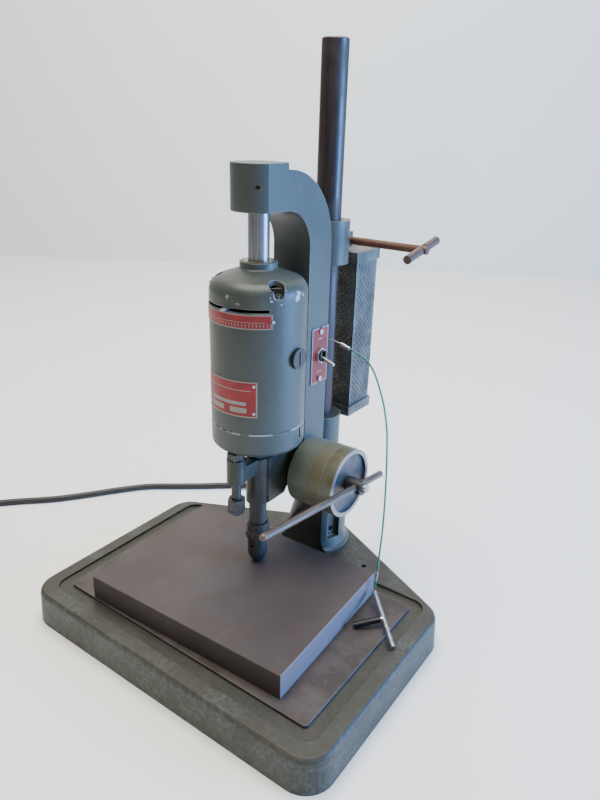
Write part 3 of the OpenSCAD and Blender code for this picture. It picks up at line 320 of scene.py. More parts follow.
@dataclass(frozen=True)
class BaseTop:
    """Paint on a base's rim and sides, with a bare, oxidised machined pad and a dirty groove."""

    name: str
    paint: Colour
    dull: Colour
    iron: Colour
    iron_dark: Colour
    half_width: float
    front: float
    rear: float
    level: float
    groove: float
    groove_width: float = 12 * MM
    pad_depth: float = 2.4 * MM
    mottled: Colour = (0.07, 0.078, 0.07)
    worn_rim: Colour = (0.026, 0.022, 0.015)
    stained: Colour = (0.026, 0.023, 0.017)
    chipped: Colour = (0.24, 0.24, 0.23)
    rust: Colour = (0.1, 0.055, 0.035)
    # The lavender that the pad's edges take, a painted highlight.
    rubbed_edge_and_highlight: Colour = (0.3, 0.29, 0.32)
    dirt: Colour = (0.019, 0.02, 0.016)
    rusty_dirt: Colour = (0.036, 0.027, 0.02)

    def make(self) -> bpy.types.Material:
        """Builds the material."""
        r = Recipe(self.name)
        x, y, z = r.axes()
        cloud, patch, spots = r.noise(6, 5), r.noise(34, 7, shift=2.2), r.noise(170, 4, shift=5.0)
        inside = abs(x).under(self.half_width + 0.4 * MM, 0.2 * MM)
        inside = inside & y.over(self.front - 0.4 * MM, 0.2 * MM) & y.under(self.rear + 0.4 * MM, 0.2 * MM)
        pad = inside & z.over(self.level - self.pad_depth, 0.2 * MM)
        floor = z.under(self.level - 1.2 * MM, 0.3 * MM) & z.over(self.level - self.groove - 1 * MM, 0.5 * MM)
        ring = abs(x).under(self.half_width + self.groove_width, 1 * MM) & floor
        ring = ring & y.over(self.front - self.groove_width, 1 * MM) & y.under(self.rear + self.groove_width, 1 * MM)
        rounded = r.soft_edges(1.4 * MM)
        edges = r.edge_mask(rounded, 0.1, 0.07)
        colour = r.mix(cloud.over(0.5, 0.15), self.paint, self.dull)
        mottle = r.noise(230, 5, shift=8.3).over(0.52, 0.1) * 0.55
        colour = r.mix(mottle, colour, self.mottled)
        rim = z.over(self.level - 1.6 * MM, 0.8 * MM) & (1 - pad)
        colour = r.mix(rim * patch.over(0.42, 0.14) * 0.75, colour, self.worn_rim)
        colour = r.mix(patch.over(0.6, 0.09) * 0.5, colour, self.stained)
        chips = (edges * patch.over(0.56, 0.06) * 0.6) | (spots.over(0.74, 0.02) & patch.over(0.6, 0.05))
        colour = r.mix(chips * 0.6, colour, self.chipped)
        iron = r.mix(patch.over(0.5, 0.16), self.iron, self.iron_dark)
        iron = r.mix(spots.over(0.62, 0.05) * 0.5, iron, self.rust)
        # Painted highlight: the machined pad's edges are lightened lavender where they catch the light.
        iron = r.mix(edges * 0.35, iron, self.rubbed_edge_and_highlight)
        dirt = r.mix(patch.over(0.58, 0.07), self.dirt, self.rusty_dirt)
        colour = r.mix(pad, r.mix(ring * 0.8, colour, dirt), iron)
        marks = r.noise(900, 2, Grain.ALONG_X) * 0.5
        height = r.cells(560) * (1 - pad) + marks * pad
        return r.finish(
            Base_Color=colour, Roughness=0.4 + patch * 0.2 + pad * 0.1, Metallic=pad * 0.2 + chips * 0.3,
            Specular_IOR_Level=0.38, Normal=r.relief(height, 0.3, 0.35 * MM, rounded))


@dataclass(frozen=True)
class BareMetal:
    """Turned, ground or rusted metal."""

    name: str
    colour: Colour
    dark: Colour
    stain: Colour = (0.12, 0.06, 0.035)
    stained: float = 0.3
    roughness: float = 0.34
    metallic: float = 0.9
    grain: Grain = Grain.NONE
    marks: float = 700.0
    depth: float = 0.06
    edge: float = 0.4 * MM
    rubbed_edge_and_highlight: Colour = (0.62, 0.62, 0.64)

    def make(self) -> bpy.types.Material:
        """Builds the material."""
        r = Recipe(self.name)
        streak = r.noise(self.marks, 3, self.grain)
        blot, speck = r.noise(32, 6, shift=4.4), r.noise(420, 4, shift=9.1)
        colour = r.mix(streak.over(0.5, 0.22), self.colour, self.dark)
        patina = (blot.over(0.55, 0.11) * self.stained) | (speck.over(0.66, 0.05) * self.stained)
        colour = r.mix(patina, colour, self.stain)
        rounded = r.soft_edges(self.edge)
        colour = r.mix(r.edge_mask(rounded, 0.12, 0.08) * 0.45, colour, self.rubbed_edge_and_highlight)
        return r.finish(
            Base_Color=colour, Roughness=self.roughness + streak * 0.14 + patina * 0.3,
            Metallic=self.metallic - patina * 0.6,
            Normal=r.relief(streak + speck * 0.4, self.depth * 4, 0.12 * MM, rounded))


@dataclass(frozen=True)
class GroundIron:
    """A loose iron plate, ground long ago and evenly browned since, with faint scuffs and one milled side.

    corner is a point on the milled side, and turn is the angle that the plate is turned by.
    """

    name: str
    colour: Colour
    dark: Colour
    corner: tuple[float, float]
    turn: float
    browned: Colour = (0.06, 0.041, 0.035)
    milled: Colour = (0.24, 0.185, 0.2)
    scuffed: Colour = (0.2, 0.18, 0.18)
    rubbed_edge_and_highlight: Colour = (0.26, 0.23, 0.23)

    def make(self) -> bpy.types.Material:
        """Builds the material."""
        r = Recipe(self.name)
        x, y, _ = r.axes()
        side = (x - self.corner[0]) * math.cos(self.turn) + (y - self.corner[1]) * math.sin(self.turn)
        cloud, blot, speck = r.noise(11, 5), r.noise(48, 7, shift=2.7), r.noise(650, 3, shift=6.1)
        scuff = r.noise(420, 4, Grain.ALONG_X, 3.0).over(0.7, 0.04)
        scuff = scuff | r.noise(380, 4, Grain.ALONG_Y, 8.0).over(0.71, 0.04)
        colour = r.mix(cloud.over(0.5, 0.2), self.colour, self.dark)
        colour = r.mix(blot.over(0.6, 0.1) * 0.45, colour, self.browned)
        colour = r.mix(side.over(-0.4 * MM, 0.2 * MM) * 0.8, colour, self.milled)
        colour = r.mix(scuff * 0.1, colour, self.scuffed)
        rounded = r.soft_edges(0.8 * MM)
        colour = r.mix(r.edge_mask(rounded, 0.1, 0.07) * 0.4, colour, self.rubbed_edge_and_highlight)
        return r.finish(
            Base_Color=colour, Roughness=0.6 + blot * 0.14 - scuff * 0.06, Metallic=0.12, Specular_IOR_Level=0.35,
            Normal=r.relief(speck * 0.6 + blot * 0.4, 0.18, 0.15 * MM, rounded))


@dataclass(frozen=True)
class KeySteel:
    """A chuck key: a bright cross bar and a black shank that stands off to one side of it."""

    name: str
    bar_from: tuple[float, float] = (0.1178, 0.043)
    bar_to: tuple[float, float] = (0.1662, -0.0042)
    bar_radius: float = 2.9 * MM
    bright: Colour = (0.42, 0.42, 0.44)
    tarnished: Colour = (0.26, 0.25, 0.26)
    blackened: Colour = (0.02, 0.02, 0.021)

    def make(self) -> bpy.types.Material:
        """Builds the material."""
        r = Recipe(self.name)
        x, y, _ = r.axes()
        along = Vector(self.bar_to) - Vector(self.bar_from)
        off = Vector((-along.y, along.x)).normalized()
        shank = (x - self.bar_from[0]) * off.x + (y - self.bar_from[1]) * off.y
        black = abs(shank).over(self.bar_radius, 0.3 * MM)
        worn = r.noise(300, 4).over(0.55, 0.1)
        colour = r.mix(black, r.mix(worn, self.bright, self.tarnished), self.blackened)
        return r.finish(
            Base_Color=colour, Roughness=0.26 + worn * 0.12 + black * 0.1, Metallic=0.95 - black * 0.25,
            Normal=r.relief(worn, 0.1, 0.1 * MM, r.soft_edges(0.4 * MM)))


@dataclass(frozen=True)
class Moulded:
    """Plastic, rubber, ceramic or carbon."""

    name: str
    colour: Colour
    dusty: Colour
    roughness: float = 0.3
    coat: float = 0.0

    def make(self) -> bpy.types.Material:
        """Builds the material."""
        r = Recipe(self.name)
        haze, fine = r.noise(60, 5), r.noise(900, 3, shift=2.0)
        return r.finish(
            Base_Color=r.mix(haze.over(0.55, 0.18) * 0.5, self.colour, self.dusty),
            Roughness=self.roughness + haze * 0.18, Coat_Weight=self.coat,
            Normal=r.relief(fine, 0.12, 0.15 * MM, r.soft_edges(0.4 * MM)))


@dataclass(frozen=True)
class Galvanised:
    """Zinc coated sheet, dull, with grey bloom."""

    name: str
    colour: Colour = (0.14, 0.14, 0.132)
    bloom: Colour = (0.075, 0.075, 0.066)
    rust: Colour = (0.14, 0.085, 0.05)

    def make(self) -> bpy.types.Material:
        """Builds the material."""
        r = Recipe(self.name)
        spangle = r.node("ShaderNodeTexVoronoi", None, {"Vector": r.place, "Scale": 240.0})
        cloud, blot = r.noise(45, 6, shift=1.2), r.noise(24, 5, shift=6.0)
        colour = r.mix(cloud.over(0.5, 0.15), self.colour, self.bloom)
        colour = r.mix(blot.over(0.66, 0.07) * 0.5, colour, self.rust)
        return r.finish(
            Base_Color=colour, Roughness=0.42 + spangle * 0.2, Metallic=0.72,
            Normal=r.relief(spangle, 0.1, 0.1 * MM, r.soft_edges(0.4 * MM)))


@dataclass(frozen=True)
class SwitchPlateRed:
    """Red enamel on bright sheet with a bare border, for the flat switch plate."""

    name: str
    centre: tuple[float, float]
    half: tuple[float, float]
    border: float = 1.5 * MM
    bar_half: tuple[float, float] = (4 * MM, 0.7 * MM)
    bar_from_centre: float = 17 * MM

    def make(self) -> bpy.types.Material:
        """Builds the material."""
        r = Recipe(self.name)
        _, y, z = r.axes()
        across, up = abs(y - self.centre[0]), abs(z - self.centre[1])
        inside = across.under(self.half[0] - self.border, 0.15 * MM)
        inside = inside & up.under(self.half[1] - self.border, 0.15 * MM)
        bars = across.under(self.bar_half[0], 0.2 * MM)
        bars = bars & abs(up - self.bar_from_centre).under(self.bar_half[1], 0.15 * MM)
        return enamel(r, inside & (1 - bars))


@dataclass(frozen=True)
class MotorPlateRed:
    """Red enamel on the two plates that are bent round the motor: a ticked scale and a plain panel.

    Heights are in metres, and the plates' half widths are in degrees round the motor.
    """

    name: str
    scale_z: tuple[float, float]
    scale_half: float
    panel_z: tuple[float, float]
    panel_half: float
    border: float = 1.1 * MM
    border_turn: float = 1.6
    tick_pitch: float = 4.0

    def make(self) -> bpy.types.Material:
        """Builds the material."""
        r = Recipe(self.name)
        x, y, z = r.axes()
        turn = r.node("ShaderNodeMath", {"operation": "ARCTAN2"}, {0: x, 1: y * -1.0}) * (180 / math.pi)
        side = abs(turn)

        def within(zs: tuple[float, float], half: float) -> Signal:
            """A mask of one plate's enamel, inside its bare border."""
            mid, tall = (zs[0] + zs[1]) / 2, (zs[1] - zs[0]) / 2
            return abs(z - mid).under(tall - self.border, 0.12 * MM) & side.under(half - self.border_turn, 0.2)

        def band(level: float, half: float) -> Signal:
            """A mask of a level strip."""
            return abs(z - level).under(half, 0.1 * MM)

        foot, low = self.scale_z[0], self.panel_z[0]
        ticks = (turn % self.tick_pitch).under(0.9, 0.2) & band(foot + 3.6 * MM, 1.3 * MM)
        line = band(foot + 6.2 * MM, 0.25 * MM) & side.under(self.scale_half - 9, 0.2)
        rule = band(low + 25.5 * MM, 0.35 * MM) & side.under(self.panel_half - 7, 0.2)
        boxes = band(low + 6.5 * MM, 2.4 * MM) & abs(side - 15.0).under(10.5, 0.2)
        boxes = boxes | (band(low + 13 * MM, 1.6 * MM) & side.under(25.0, 0.2))
        scale = within(self.scale_z, self.scale_half) & (1 - (ticks | line))
        panel = within(self.panel_z, self.panel_half) & (1 - (rule | boxes))
        return enamel(r, scale | panel)


ENAMEL: Colour = (0.25, 0.004, 0.006)
ENAMEL_FADED: Colour = (0.17, 0.004, 0.005)
BARE_SHEET: Colour = (0.22, 0.21, 0.2)


def enamel(r: Recipe, red: Signal) -> bpy.types.Material:
    """Red enamel where a mask says, and bare bright sheet elsewhere.

    Args:
        r: The recipe to finish.
        red: The mask of the enamel.

    Returns:
        The finished material.
    """
    wear = r.noise(210, 5, shift=3.3)
    kept = red & wear.under(0.71, 0.02)
    fade = r.noise(70, 4)
    paint = r.mix(fade.over(0.5, 0.2), ENAMEL, ENAMEL_FADED)
    colour = r.mix(kept, BARE_SHEET, paint)
    return r.finish(
        Base_Color=colour, Roughness=0.36 + fade * 0.1, Metallic=(1 - kept) * 0.75,
        Normal=r.relief(kept, 0.35, 0.08 * MM, r.soft_edges(0.25 * MM)))


@dataclass(frozen=True)
class DrumFace:
    """The feed drum: a polished rim, a brushed recess that is stained round its hub, and a painted side."""

    name: str
    axis: tuple[float, float]
    radius: float
    rim: float
    front: float
    hub: float = 15 * MM
    cut_pitch: float = 0.55 * MM
    steel: Colour = (0.11, 0.112, 0.125)
    dark: Colour = (0.068, 0.07, 0.077)
    stain: Colour = (0.1, 0.06, 0.04)
    polished: Colour = (0.26, 0.26, 0.285)
    olive: Colour = (0.105, 0.11, 0.082)
    oily_olive: Colour = (0.09, 0.075, 0.035)

    def make(self) -> bpy.types.Material:
        """Builds the material."""
        r = Recipe(self.name)
        x, y, z = r.axes()
        across, up = y - self.axis[0], z - self.axis[1]
        out = r.node("ShaderNodeMath", {"operation": "SQRT"}, {0: across * across + up * up})
        rim = out.over(self.radius - self.rim, 0.15 * MM)
        wave = out * (2 * math.pi / self.cut_pitch)
        rings = r.node("ShaderNodeMath", {"operation": "SINE"}, {0: wave}) * 0.5 + 0.5
        blot = r.noise(60, 6, shift=2.6)
        colour = r.mix(blot.over(0.5, 0.15), self.steel, self.dark)
        stained = out.under(self.hub, 6 * MM) * blot.over(0.46, 0.12)
        colour = r.mix(stained * 0.75, colour, self.stain)
        colour = r.mix(rim, colour, self.polished)
        side = x.under(self.front - 1.2 * MM, 0.3 * MM) & out.over(self.radius - 0.6 * MM, 0.2 * MM)
        colour = r.mix(side, colour, r.mix(blot.over(0.54, 0.1), self.olive, self.oily_olive))
        return r.finish(
            Base_Color=colour, Roughness=0.42 - rim * 0.12 + blot * 0.1 + side * 0.1, Metallic=0.85 - side * 0.7,
            Normal=r.relief(rings, 0.12, 0.06 * MM, r.soft_edges(0.5 * MM)))


# The paint of the head and the motor.
PAINT: Colour = (0.052, 0.064, 0.06)
PAINT_DULL: Colour = (0.036, 0.042, 0.035)


def finishes() -> dict[str, bpy.types.Material]:
    """Builds every finish once.

    Returns:
        The materials by name.
    """
    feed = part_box("drum_face")
    switch = [sum(pair) / 2 for pair in zip(*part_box("switch_plate"))]
    recipes = [
        # The head frame's lower front is blackened as grease and painted shade.
        HammeredPaint("frame_paint", PAINT, PAINT_DULL, grease_and_shade_limits=(0.044, 0.215)),
        HammeredPaint("pedestal_paint", (0.078, 0.086, 0.078), (0.055, 0.059, 0.049)),
        HammeredPaint("motor_paint", PAINT, PAINT_DULL, chips=0.765, shoulder=(0.353, 4 * MM),
                      shoulder_chips=0.63),
        HammeredPaint("bell_paint", PAINT, PAINT_DULL, shoulder=(0.2285, 0.9 * MM), shoulder_chips=0.5),
        HammeredPaint("drum_paint", (0.13, 0.155, 0.13), (0.09, 0.104, 0.083), (0.08, 0.065, 0.036),
                      chips=0.76),
        HammeredPaint("ring_paint", (0.125, 0.13, 0.098), (0.1, 0.085, 0.042), (0.075, 0.055, 0.026),
                      chips=0.75),
        BaseTop("base_finish", (0.038, 0.043, 0.038), (0.025, 0.027, 0.021), (0.06, 0.05, 0.048),
                (0.036, 0.028, 0.026), half_width=0.151, front=-0.124, rear=0.061, level=0.036, groove=3 * MM),
        GroundIron("block_iron", (0.066, 0.052, 0.05), (0.047, 0.036, 0.034), corner=(0.117, -0.114),
                   turn=math.radians(2.4)),
        BareMetal("column_steel", (0.072, 0.057, 0.06), (0.04, 0.032, 0.032), (0.05, 0.03, 0.022), 0.5, 0.34, 0.8,
                  Grain.ALONG_Z, 260),
        BareMetal("bright_rod", (0.27, 0.28, 0.31), (0.17, 0.175, 0.2), stained=0.25, roughness=0.22,
                  grain=Grain.ALONG_Z, marks=420),
        BareMetal("bright_steel", (0.56, 0.56, 0.58), (0.38, 0.38, 0.4), stained=0.3, roughness=0.27),
        BareMetal("dark_steel", (0.09, 0.09, 0.096), (0.048, 0.046, 0.047), (0.08, 0.06, 0.03), 0.5, 0.34, 0.85),
        BareMetal("chuck_steel", (0.085, 0.095, 0.112), (0.04, 0.041, 0.046), (0.07, 0.055, 0.035), 0.45, 0.3, 0.88,
                  Grain.ALONG_Z, 600),
        BareMetal("rusty_steel", (0.13, 0.062, 0.045), (0.075, 0.036, 0.025), (0.09, 0.035, 0.02), 0.85, 0.5, 0.5,
                  depth=0.12),
        BareMetal("bar_steel", (0.14, 0.095, 0.085), (0.085, 0.055, 0.048), (0.1, 0.05, 0.035), 0.6, 0.42, 0.6,
                  depth=0.08),
        BareMetal("lever_steel", (0.17, 0.14, 0.132), (0.1, 0.078, 0.07), (0.11, 0.065, 0.05), 0.5, 0.3, 0.8,
                  Grain.ALONG_Y, 300),
        BareMetal("bronze", (0.55, 0.36, 0.16), (0.35, 0.22, 0.1), stained=0.2),
        BareMetal("copper", (0.55, 0.26, 0.14), (0.34, 0.14, 0.08), stained=0.2),
        Galvanised("galvanised"),
        KeySteel("key_steel"),
        Moulded("bakelite", (0.006, 0.006, 0.007), (0.014, 0.014, 0.014), 0.32, 0.1),
        Moulded("cord_rubber", (0.007, 0.007, 0.008), (0.028, 0.028, 0.029), 0.46),
        Moulded("wire_cover", (0.01, 0.17, 0.12), (0.03, 0.26, 0.2), 0.28, 0.2),
        Moulded("ceramic", (0.5, 0.46, 0.38), (0.34, 0.29, 0.22), 0.6),
        Moulded("carbon", (0.03, 0.03, 0.03), (0.06, 0.06, 0.06), 0.6),
        SwitchPlateRed("switch_red", (switch[1], switch[2]), (0.014, 0.029)),
        MotorPlateRed("plate_red", scale_z=(0.3275, 0.3405), scale_half=54.6, panel_z=(0.246, 0.28),
                      panel_half=38.0),
        DrumFace("drum_face_steel", ((feed[0].y + feed[1].y) / 2, (feed[0].z + feed[1].z) / 2), radius=0.0356,
                 rim=4.5 * MM, front=feed[1].x),
    ]
    return {recipe.name: recipe.make() for recipe in recipes}


# ------------------------------------------------------------------ making pieces


def alone(piece: bpy.types.Object) -> None:
    """Leaves one object selected and active."""
    bpy.ops.object.select_all(action="DESELECT")
    piece.select_set(True)
    bpy.context.view_layer.objects.active = piece


def settled(piece: bpy.types.Object, name: str, material: bpy.types.Material) -> bpy.types.Object:
    """Names a piece, puts its place in its mesh and gives it its material.

    Args:
        piece: The mesh object.
        name: Its name.
        material: Its finish.

    Returns:
        The same object.
    """
    piece.name = name
    piece.data.name = name
    alone(piece)
    bpy.ops.object.transform_apply(location=True, rotation=True, scale=True)
    piece.data.materials.clear()
    piece.data.materials.append(material)
    return piece


def smoothed(route: Sequence[Point], steps: int) -> list[Vector]:
    """A smooth line through a route's points.

    Args:
        route: The points.
        steps: How many steps lie between two of them.

    Returns:
        The finer points.
    """
    p = [Vector(q) for q in route]
    p = [p[0] * 2 - p[1], *p, p[-1] * 2 - p[-2]]
    line: list[Vector] = []
    for a, b, c, d in zip(p, p[1:], p[2:], p[3:]):
        for k in range(steps):
            t = k / steps
            line.append(((b * 2) + (c - a) * t + (a * 2 - b * 5 + c * 4 - d) * t * t
                         + (b * 3 - a - c * 3 + d) * t ** 3) * 0.5)
    return [*line, p[-2]]


def length_of(line: Sequence[Vector]) -> float:
    """The length of a line of points."""
    return sum((b - a).length for a, b in zip(line, line[1:]))


MERGE_WITHIN = 1e-6
SMOOTH_UP_TO = math.radians(50)


def tube(line: Sequence[Vector], radius: float, sides: int) -> bpy.types.Object:
    """A closed round tube along a line, as a mesh.

    Args:
        line: The centres, in metres.
        radius: The tube's radius.
        sides: The curve's bevel resolution, which sets the faces round it.

    Returns:
        The mesh object.
    """
    curve = bpy.data.curves.new("tube", "CURVE")
    curve.dimensions = "3D"
    curve.bevel_depth, curve.bevel_resolution, curve.use_fill_caps = radius, sides, True
    spline = curve.splines.new("POLY")
    spline.points.add(len(line) - 1)
    for point, place in zip(spline.points, line):
        point.co = (*place, 1.0)
    piece = bpy.data.objects.new("tube", curve)
    bpy.context.scene.collection.objects.link(piece)
    alone(piece)
    bpy.ops.object.convert(target="MESH")
    piece = bpy.context.view_layer.objects.active
    alone(piece)
    bpy.ops.object.mode_set(mode="EDIT")
    bpy.ops.mesh.select_all(action="SELECT")
    bpy.ops.mesh.remove_doubles(threshold=MERGE_WITHIN)
    bpy.ops.mesh.normals_make_consistent(inside=False)
    bpy.ops.object.mode_set(mode="OBJECT")
    bpy.ops.object.shade_smooth_by_angle(angle=SMOOTH_UP_TO)
    return piece


@dataclass
class Shop:
    """The frame's nodes and the finishes that dress them."""

    nodes: dict[str, bpy.types.Object]
    stock: dict[str, bpy.types.Material]

    def dress(self, finish: str, *names: str) -> None:
        """Gives CAD nodes a finish.

        Args:
            finish: The finish's name.
            names: The nodes.
        """
        for name in names:
            for held in self.nodes[name].material_slots:
                held.material = self.stock[finish]
            LOG.info("%s: %s", name, finish)


# ------------------------------------------------------------------ sub-assemblies


@dataclass
class PerforatedCage:
    """The sheet cage over the speed resistor, pierced all round.

    hole_profile makes the bevelled points round, and hole_reach is how near a hole's middle its faces lie, as a
    share of a step.
    """

    shop: Shop
    pitch: float = 3.0 * MM
    hole: float = 1.5 * MM
    sheet: float = 0.8 * MM
    margin: int = 2
    hole_profile: float = 0.086
    hole_reach: float = 0.3

    def wall(self, width: float, height: float) -> bpy.types.Object:
        """One pierced wall, flat, facing -Y, its middle at the origin.

        Args:
            width: Its width.
            height: Its height.

        Returns:
            The mesh object.
        """
        columns = 2 * round(width / self.pitch / 2)
        rows = 2 * round(height / self.pitch / 2)
        bpy.ops.object.select_all(action="DESELECT")
        bpy.ops.mesh.primitive_grid_add(x_subdivisions=columns, y_subdivisions=rows, size=1.0)
        wall = bpy.context.view_layer.objects.active
        wall.data.transform(Matrix.Diagonal((width, height, 1, 1)))
        step_x, step_y = width / columns, height / rows

        def lattice(co: Vector) -> tuple[float, float]:
            """The place of a point in steps of the grid."""
            return (co.x + width / 2) / step_x, (co.y + height / 2) / step_y

        def pierced(i: int, j: int) -> bool:
            """True where a hole belongs."""
            inner = self.margin <= i <= columns - self.margin and self.margin <= j <= rows - self.margin
            return inner and (i + j) % 2 == 0

        bpy.ops.object.mode_set(mode="EDIT")
        bpy.ops.mesh.select_mode(type="VERT")
        bpy.ops.mesh.select_all(action="DESELECT")
        bpy.ops.object.mode_set(mode="OBJECT")
        for vertex in wall.data.vertices:
            i, j = lattice(vertex.co)
            vertex.select = pierced(round(i), round(j))
        bpy.ops.object.mode_set(mode="EDIT")
        bpy.ops.mesh.bevel(offset=self.hole, segments=2, profile=self.hole_profile, affect="VERTICES")
        bpy.ops.mesh.select_mode(type="FACE")
        bpy.ops.mesh.select_all(action="DESELECT")
        bpy.ops.object.mode_set(mode="OBJECT")
        for face in wall.data.polygons:
            i, j = lattice(face.center)
            on_point = abs(i - round(i)) < self.hole_reach and abs(j - round(j)) < self.hole_reach
            face.select = on_point and pierced(round(i), round(j))
        bpy.ops.object.mode_set(mode="EDIT")
        bpy.ops.mesh.delete(type="FACE")
        bpy.ops.object.mode_set(mode="OBJECT")
        solid = wall.modifiers.new("sheet", "SOLIDIFY")
        solid.thickness, solid.offset = self.sheet, -1.0
        bpy.ops.object.modifier_apply(modifier=solid.name)
        wall.data.transform(Matrix.Rotation(math.radians(90), 4, "X"))
        return wall

    def build(self) -> None:
        """Makes the four walls and stands them in for the plain shell."""
        low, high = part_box("cage_shell")
        centre, size = (low + high) / 2, high - low
        walls = []
        for quarter in range(4):
            wall = self.wall(size.x, size.z)
            outward = Matrix.Translation((0, -size.y / 2, 0))
            turn = Matrix.Rotation(math.radians(90 * quarter), 4, "Z")
            wall.data.transform(Matrix.Translation(centre) @ turn @ outward)
            walls.append(wall)
        bpy.ops.object.select_all(action="DESELECT")
        for wall in walls:
            wall.select_set(True)
        bpy.context.view_layer.objects.active = walls[0]
        bpy.ops.object.join()
        joined = bpy.context.view_layer.objects.active
        shell = settled(joined, "perforated_shell", self.shop.stock["galvanised"])
        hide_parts("cage_shell")
        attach(shell, Body.HEAD.value)
        self.shop.dress("galvanised", "cage_shell", "cage_top_cap", "cage_bottom_cap")
        self.shop.dress("bright_steel", "cage_screws")
        self.shop.dress("ceramic", "resistor")
        LOG.info("perforated_shell: %d faces", len(shell.data.polygons))


@dataclass
class MainsCord:
    """The mains lead: out of the frame, down to the bench, away to the left and into a coil with its plug.

    The coil and the route are in millimetres, and the angles are degrees wound since the cord met the coil.
    """

    shop: Shop
    radius: float = 4 * MM
    coil: tuple[float, float] = (-486.0, -122.0)
    outer: float = 48.0
    inner: float = 39.6
    layers: tuple[float, float] = (4.2, 12.6)
    inwards: tuple[float, float] = (270.0, 360.0)
    upwards: tuple[float, float] = (570.0, 660.0)
    outwards: tuple[float, float] = (870.0, 960.0)
    tail_from: float = 1230.0
    tail_sweep: float = 100.0
    tail_radius: float = 66.5
    tail_height: float = 13.3
    turn_step: int = 10
    tie_side: float = 60.0
    tie_height: float = 8.4
    tie_radius: float = 8.9 * MM
    tie_wire: float = 0.55 * MM
    tie_shape: tuple[float, float, float] = (0.94, 0.86, 3.0)
    route: tuple[Point, ...] = (
        (-47.1, 70, 259), (-56, 70, 259), (-66, 71.5, 256), (-74, 76, 247), (-80, 84, 230), (-86, 96, 206),
        (-92, 112, 176), (-99, 126, 145), (-107, 141, 112), (-117, 156, 78), (-130, 171, 46), (-146, 183, 22),
        (-164, 188, 9), (-183, 184, 4.3), (-203, 168, 4.2), (-226, 148, 4.2), (-254, 125, 4.2), (-284, 100, 4.2),
        (-310, 66, 4.2), (-332, 33, 4.2), (-358, -2, 4.2), (-384, -29, 4.2), (-406, -53, 4.2), (-424, -76, 4.2),
        (-434, -98, 4.2), (-438, -122, 4.2))

    def turn_at(self, angle: float) -> Point:
        """The coil's centreline at an angle.

        Args:
            angle: Degrees wound since the cord met the coil.

        Returns:
            The point, in millimetres.
        """

        def eased(start: float, end: float) -> float:
            """0 before the start, 1 after the end, and smooth between."""
            t = min(max((angle - start) / (end - start), 0.0), 1.0)
            return t * t * (3 - 2 * t)

        radius = self.outer + (self.inner - self.outer) * (eased(*self.inwards) - eased(*self.outwards))
        height = self.layers[0] + (self.layers[1] - self.layers[0]) * eased(*self.upwards)
        radius += (self.tail_radius - self.outer) * eased(self.tail_from, self.tail_from + self.tail_sweep)
        height += (self.tail_height - self.layers[1]) * min(max((angle - self.tail_from) / self.tail_sweep, 0), 1)
        way = math.radians(-angle)
        return self.coil[0] + radius * math.cos(way), self.coil[1] + radius * math.sin(way), height

    def build(self) -> None:
        """Makes the cord and its tie."""
        free = smoothed(self.route, 4)
        last = int(self.tail_from + self.tail_sweep)
        wound = [Vector(self.turn_at(a)) for a in range(self.turn_step, last + 1, self.turn_step)]
        line = [p * MM for p in [*free, *wound]]
        cord = settled(tube(line, self.radius, 3), "mains_cord", self.shop.stock["cord_rubber"])
        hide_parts("cord_tube", "cord_coil")
        tie = self.tie()
        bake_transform(cord)
        self.shop.dress("cord_rubber", "cord_tube", "cord_coil", "cord_relief")
        self.shop.dress("bakelite", "mains_plug")
        LOG.info("mains_cord: %.3f m", length_of(line))

    def tie(self) -> bpy.types.Object:
        """A flat strap round the coil's turns.

        Returns:
            The strap.
        """
        side = math.radians(self.tie_side)
        mid = (self.outer + self.inner) / 2
        at = Vector((self.coil[0] + mid * math.cos(side), self.coil[1] + mid * math.sin(side), self.tie_height)) * MM
        bpy.ops.object.select_all(action="DESELECT")
        bpy.ops.mesh.primitive_torus_add(major_radius=self.tie_radius, minor_radius=self.tie_wire,
                                         major_segments=40, minor_segments=8, location=(0, 0, 0))
        strap = bpy.context.view_layer.objects.active
        strap.data.transform(Matrix.Diagonal((*self.tie_shape, 1)))
        upright = Matrix.Rotation(math.radians(90), 4, "X")
        strap.data.transform(Matrix.Translation(at) @ Matrix.Rotation(side, 4, "Z") @ upright)
        bpy.ops.object.shade_smooth()
        settled(strap, "cord_tie", self.shop.stock["bakelite"])
        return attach(strap, Body.COLUMN.value)


@dataclass
class KeyTether:
    """The covered wire that keeps the chuck key on the machine. Its route is in millimetres."""

    shop: Shop
    radius: float = 1 * MM
    crimp_radius: float = 1.5 * MM
    route: tuple[Point, ...] = (
        (43, 92, 282.6), (54, 92.3, 279), (64, 92, 274.4), (74, 90.4, 264.5), (82.9, 88, 249.4),
        (89.8, 85.2, 236), (95.2, 82, 222.6), (99.8, 78.2, 209), (103.2, 74, 195.3), (106.6, 69.4, 180),
        (109.6, 65, 165),
        (112.7, 60, 148.5), (114.6, 56.6, 131), (116, 53.4, 114), (117, 50, 96.9), (117.2, 48.2, 80),
        (117, 46.8, 64.4), (117.4, 45, 54.2))

    def build(self) -> None:
        """Makes the wire with its crimp."""
        line = [p * MM for p in smoothed(self.route, 4)]
        wire = settled(tube(line, self.radius, 2), "tether_cover", self.shop.stock["wire_cover"])
        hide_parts("tether_wire")
        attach(wire, Body.HEAD.value)
        sleeve = tube(line[-7:-3], self.crimp_radius, 3)
        crimp = settled(sleeve, "tether_crimp", self.shop.stock["bright_steel"])
        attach(crimp, Body.HEAD.value)
        round(length_of(line), 3)
        self.shop.dress("wire_cover", "tether_wire")
        self.shop.dress("bright_steel", "tether_hook")
        self.shop.dress("key_steel", "chuck_key")
        LOG.info("tether_cover: %.3f m", length_of(line))


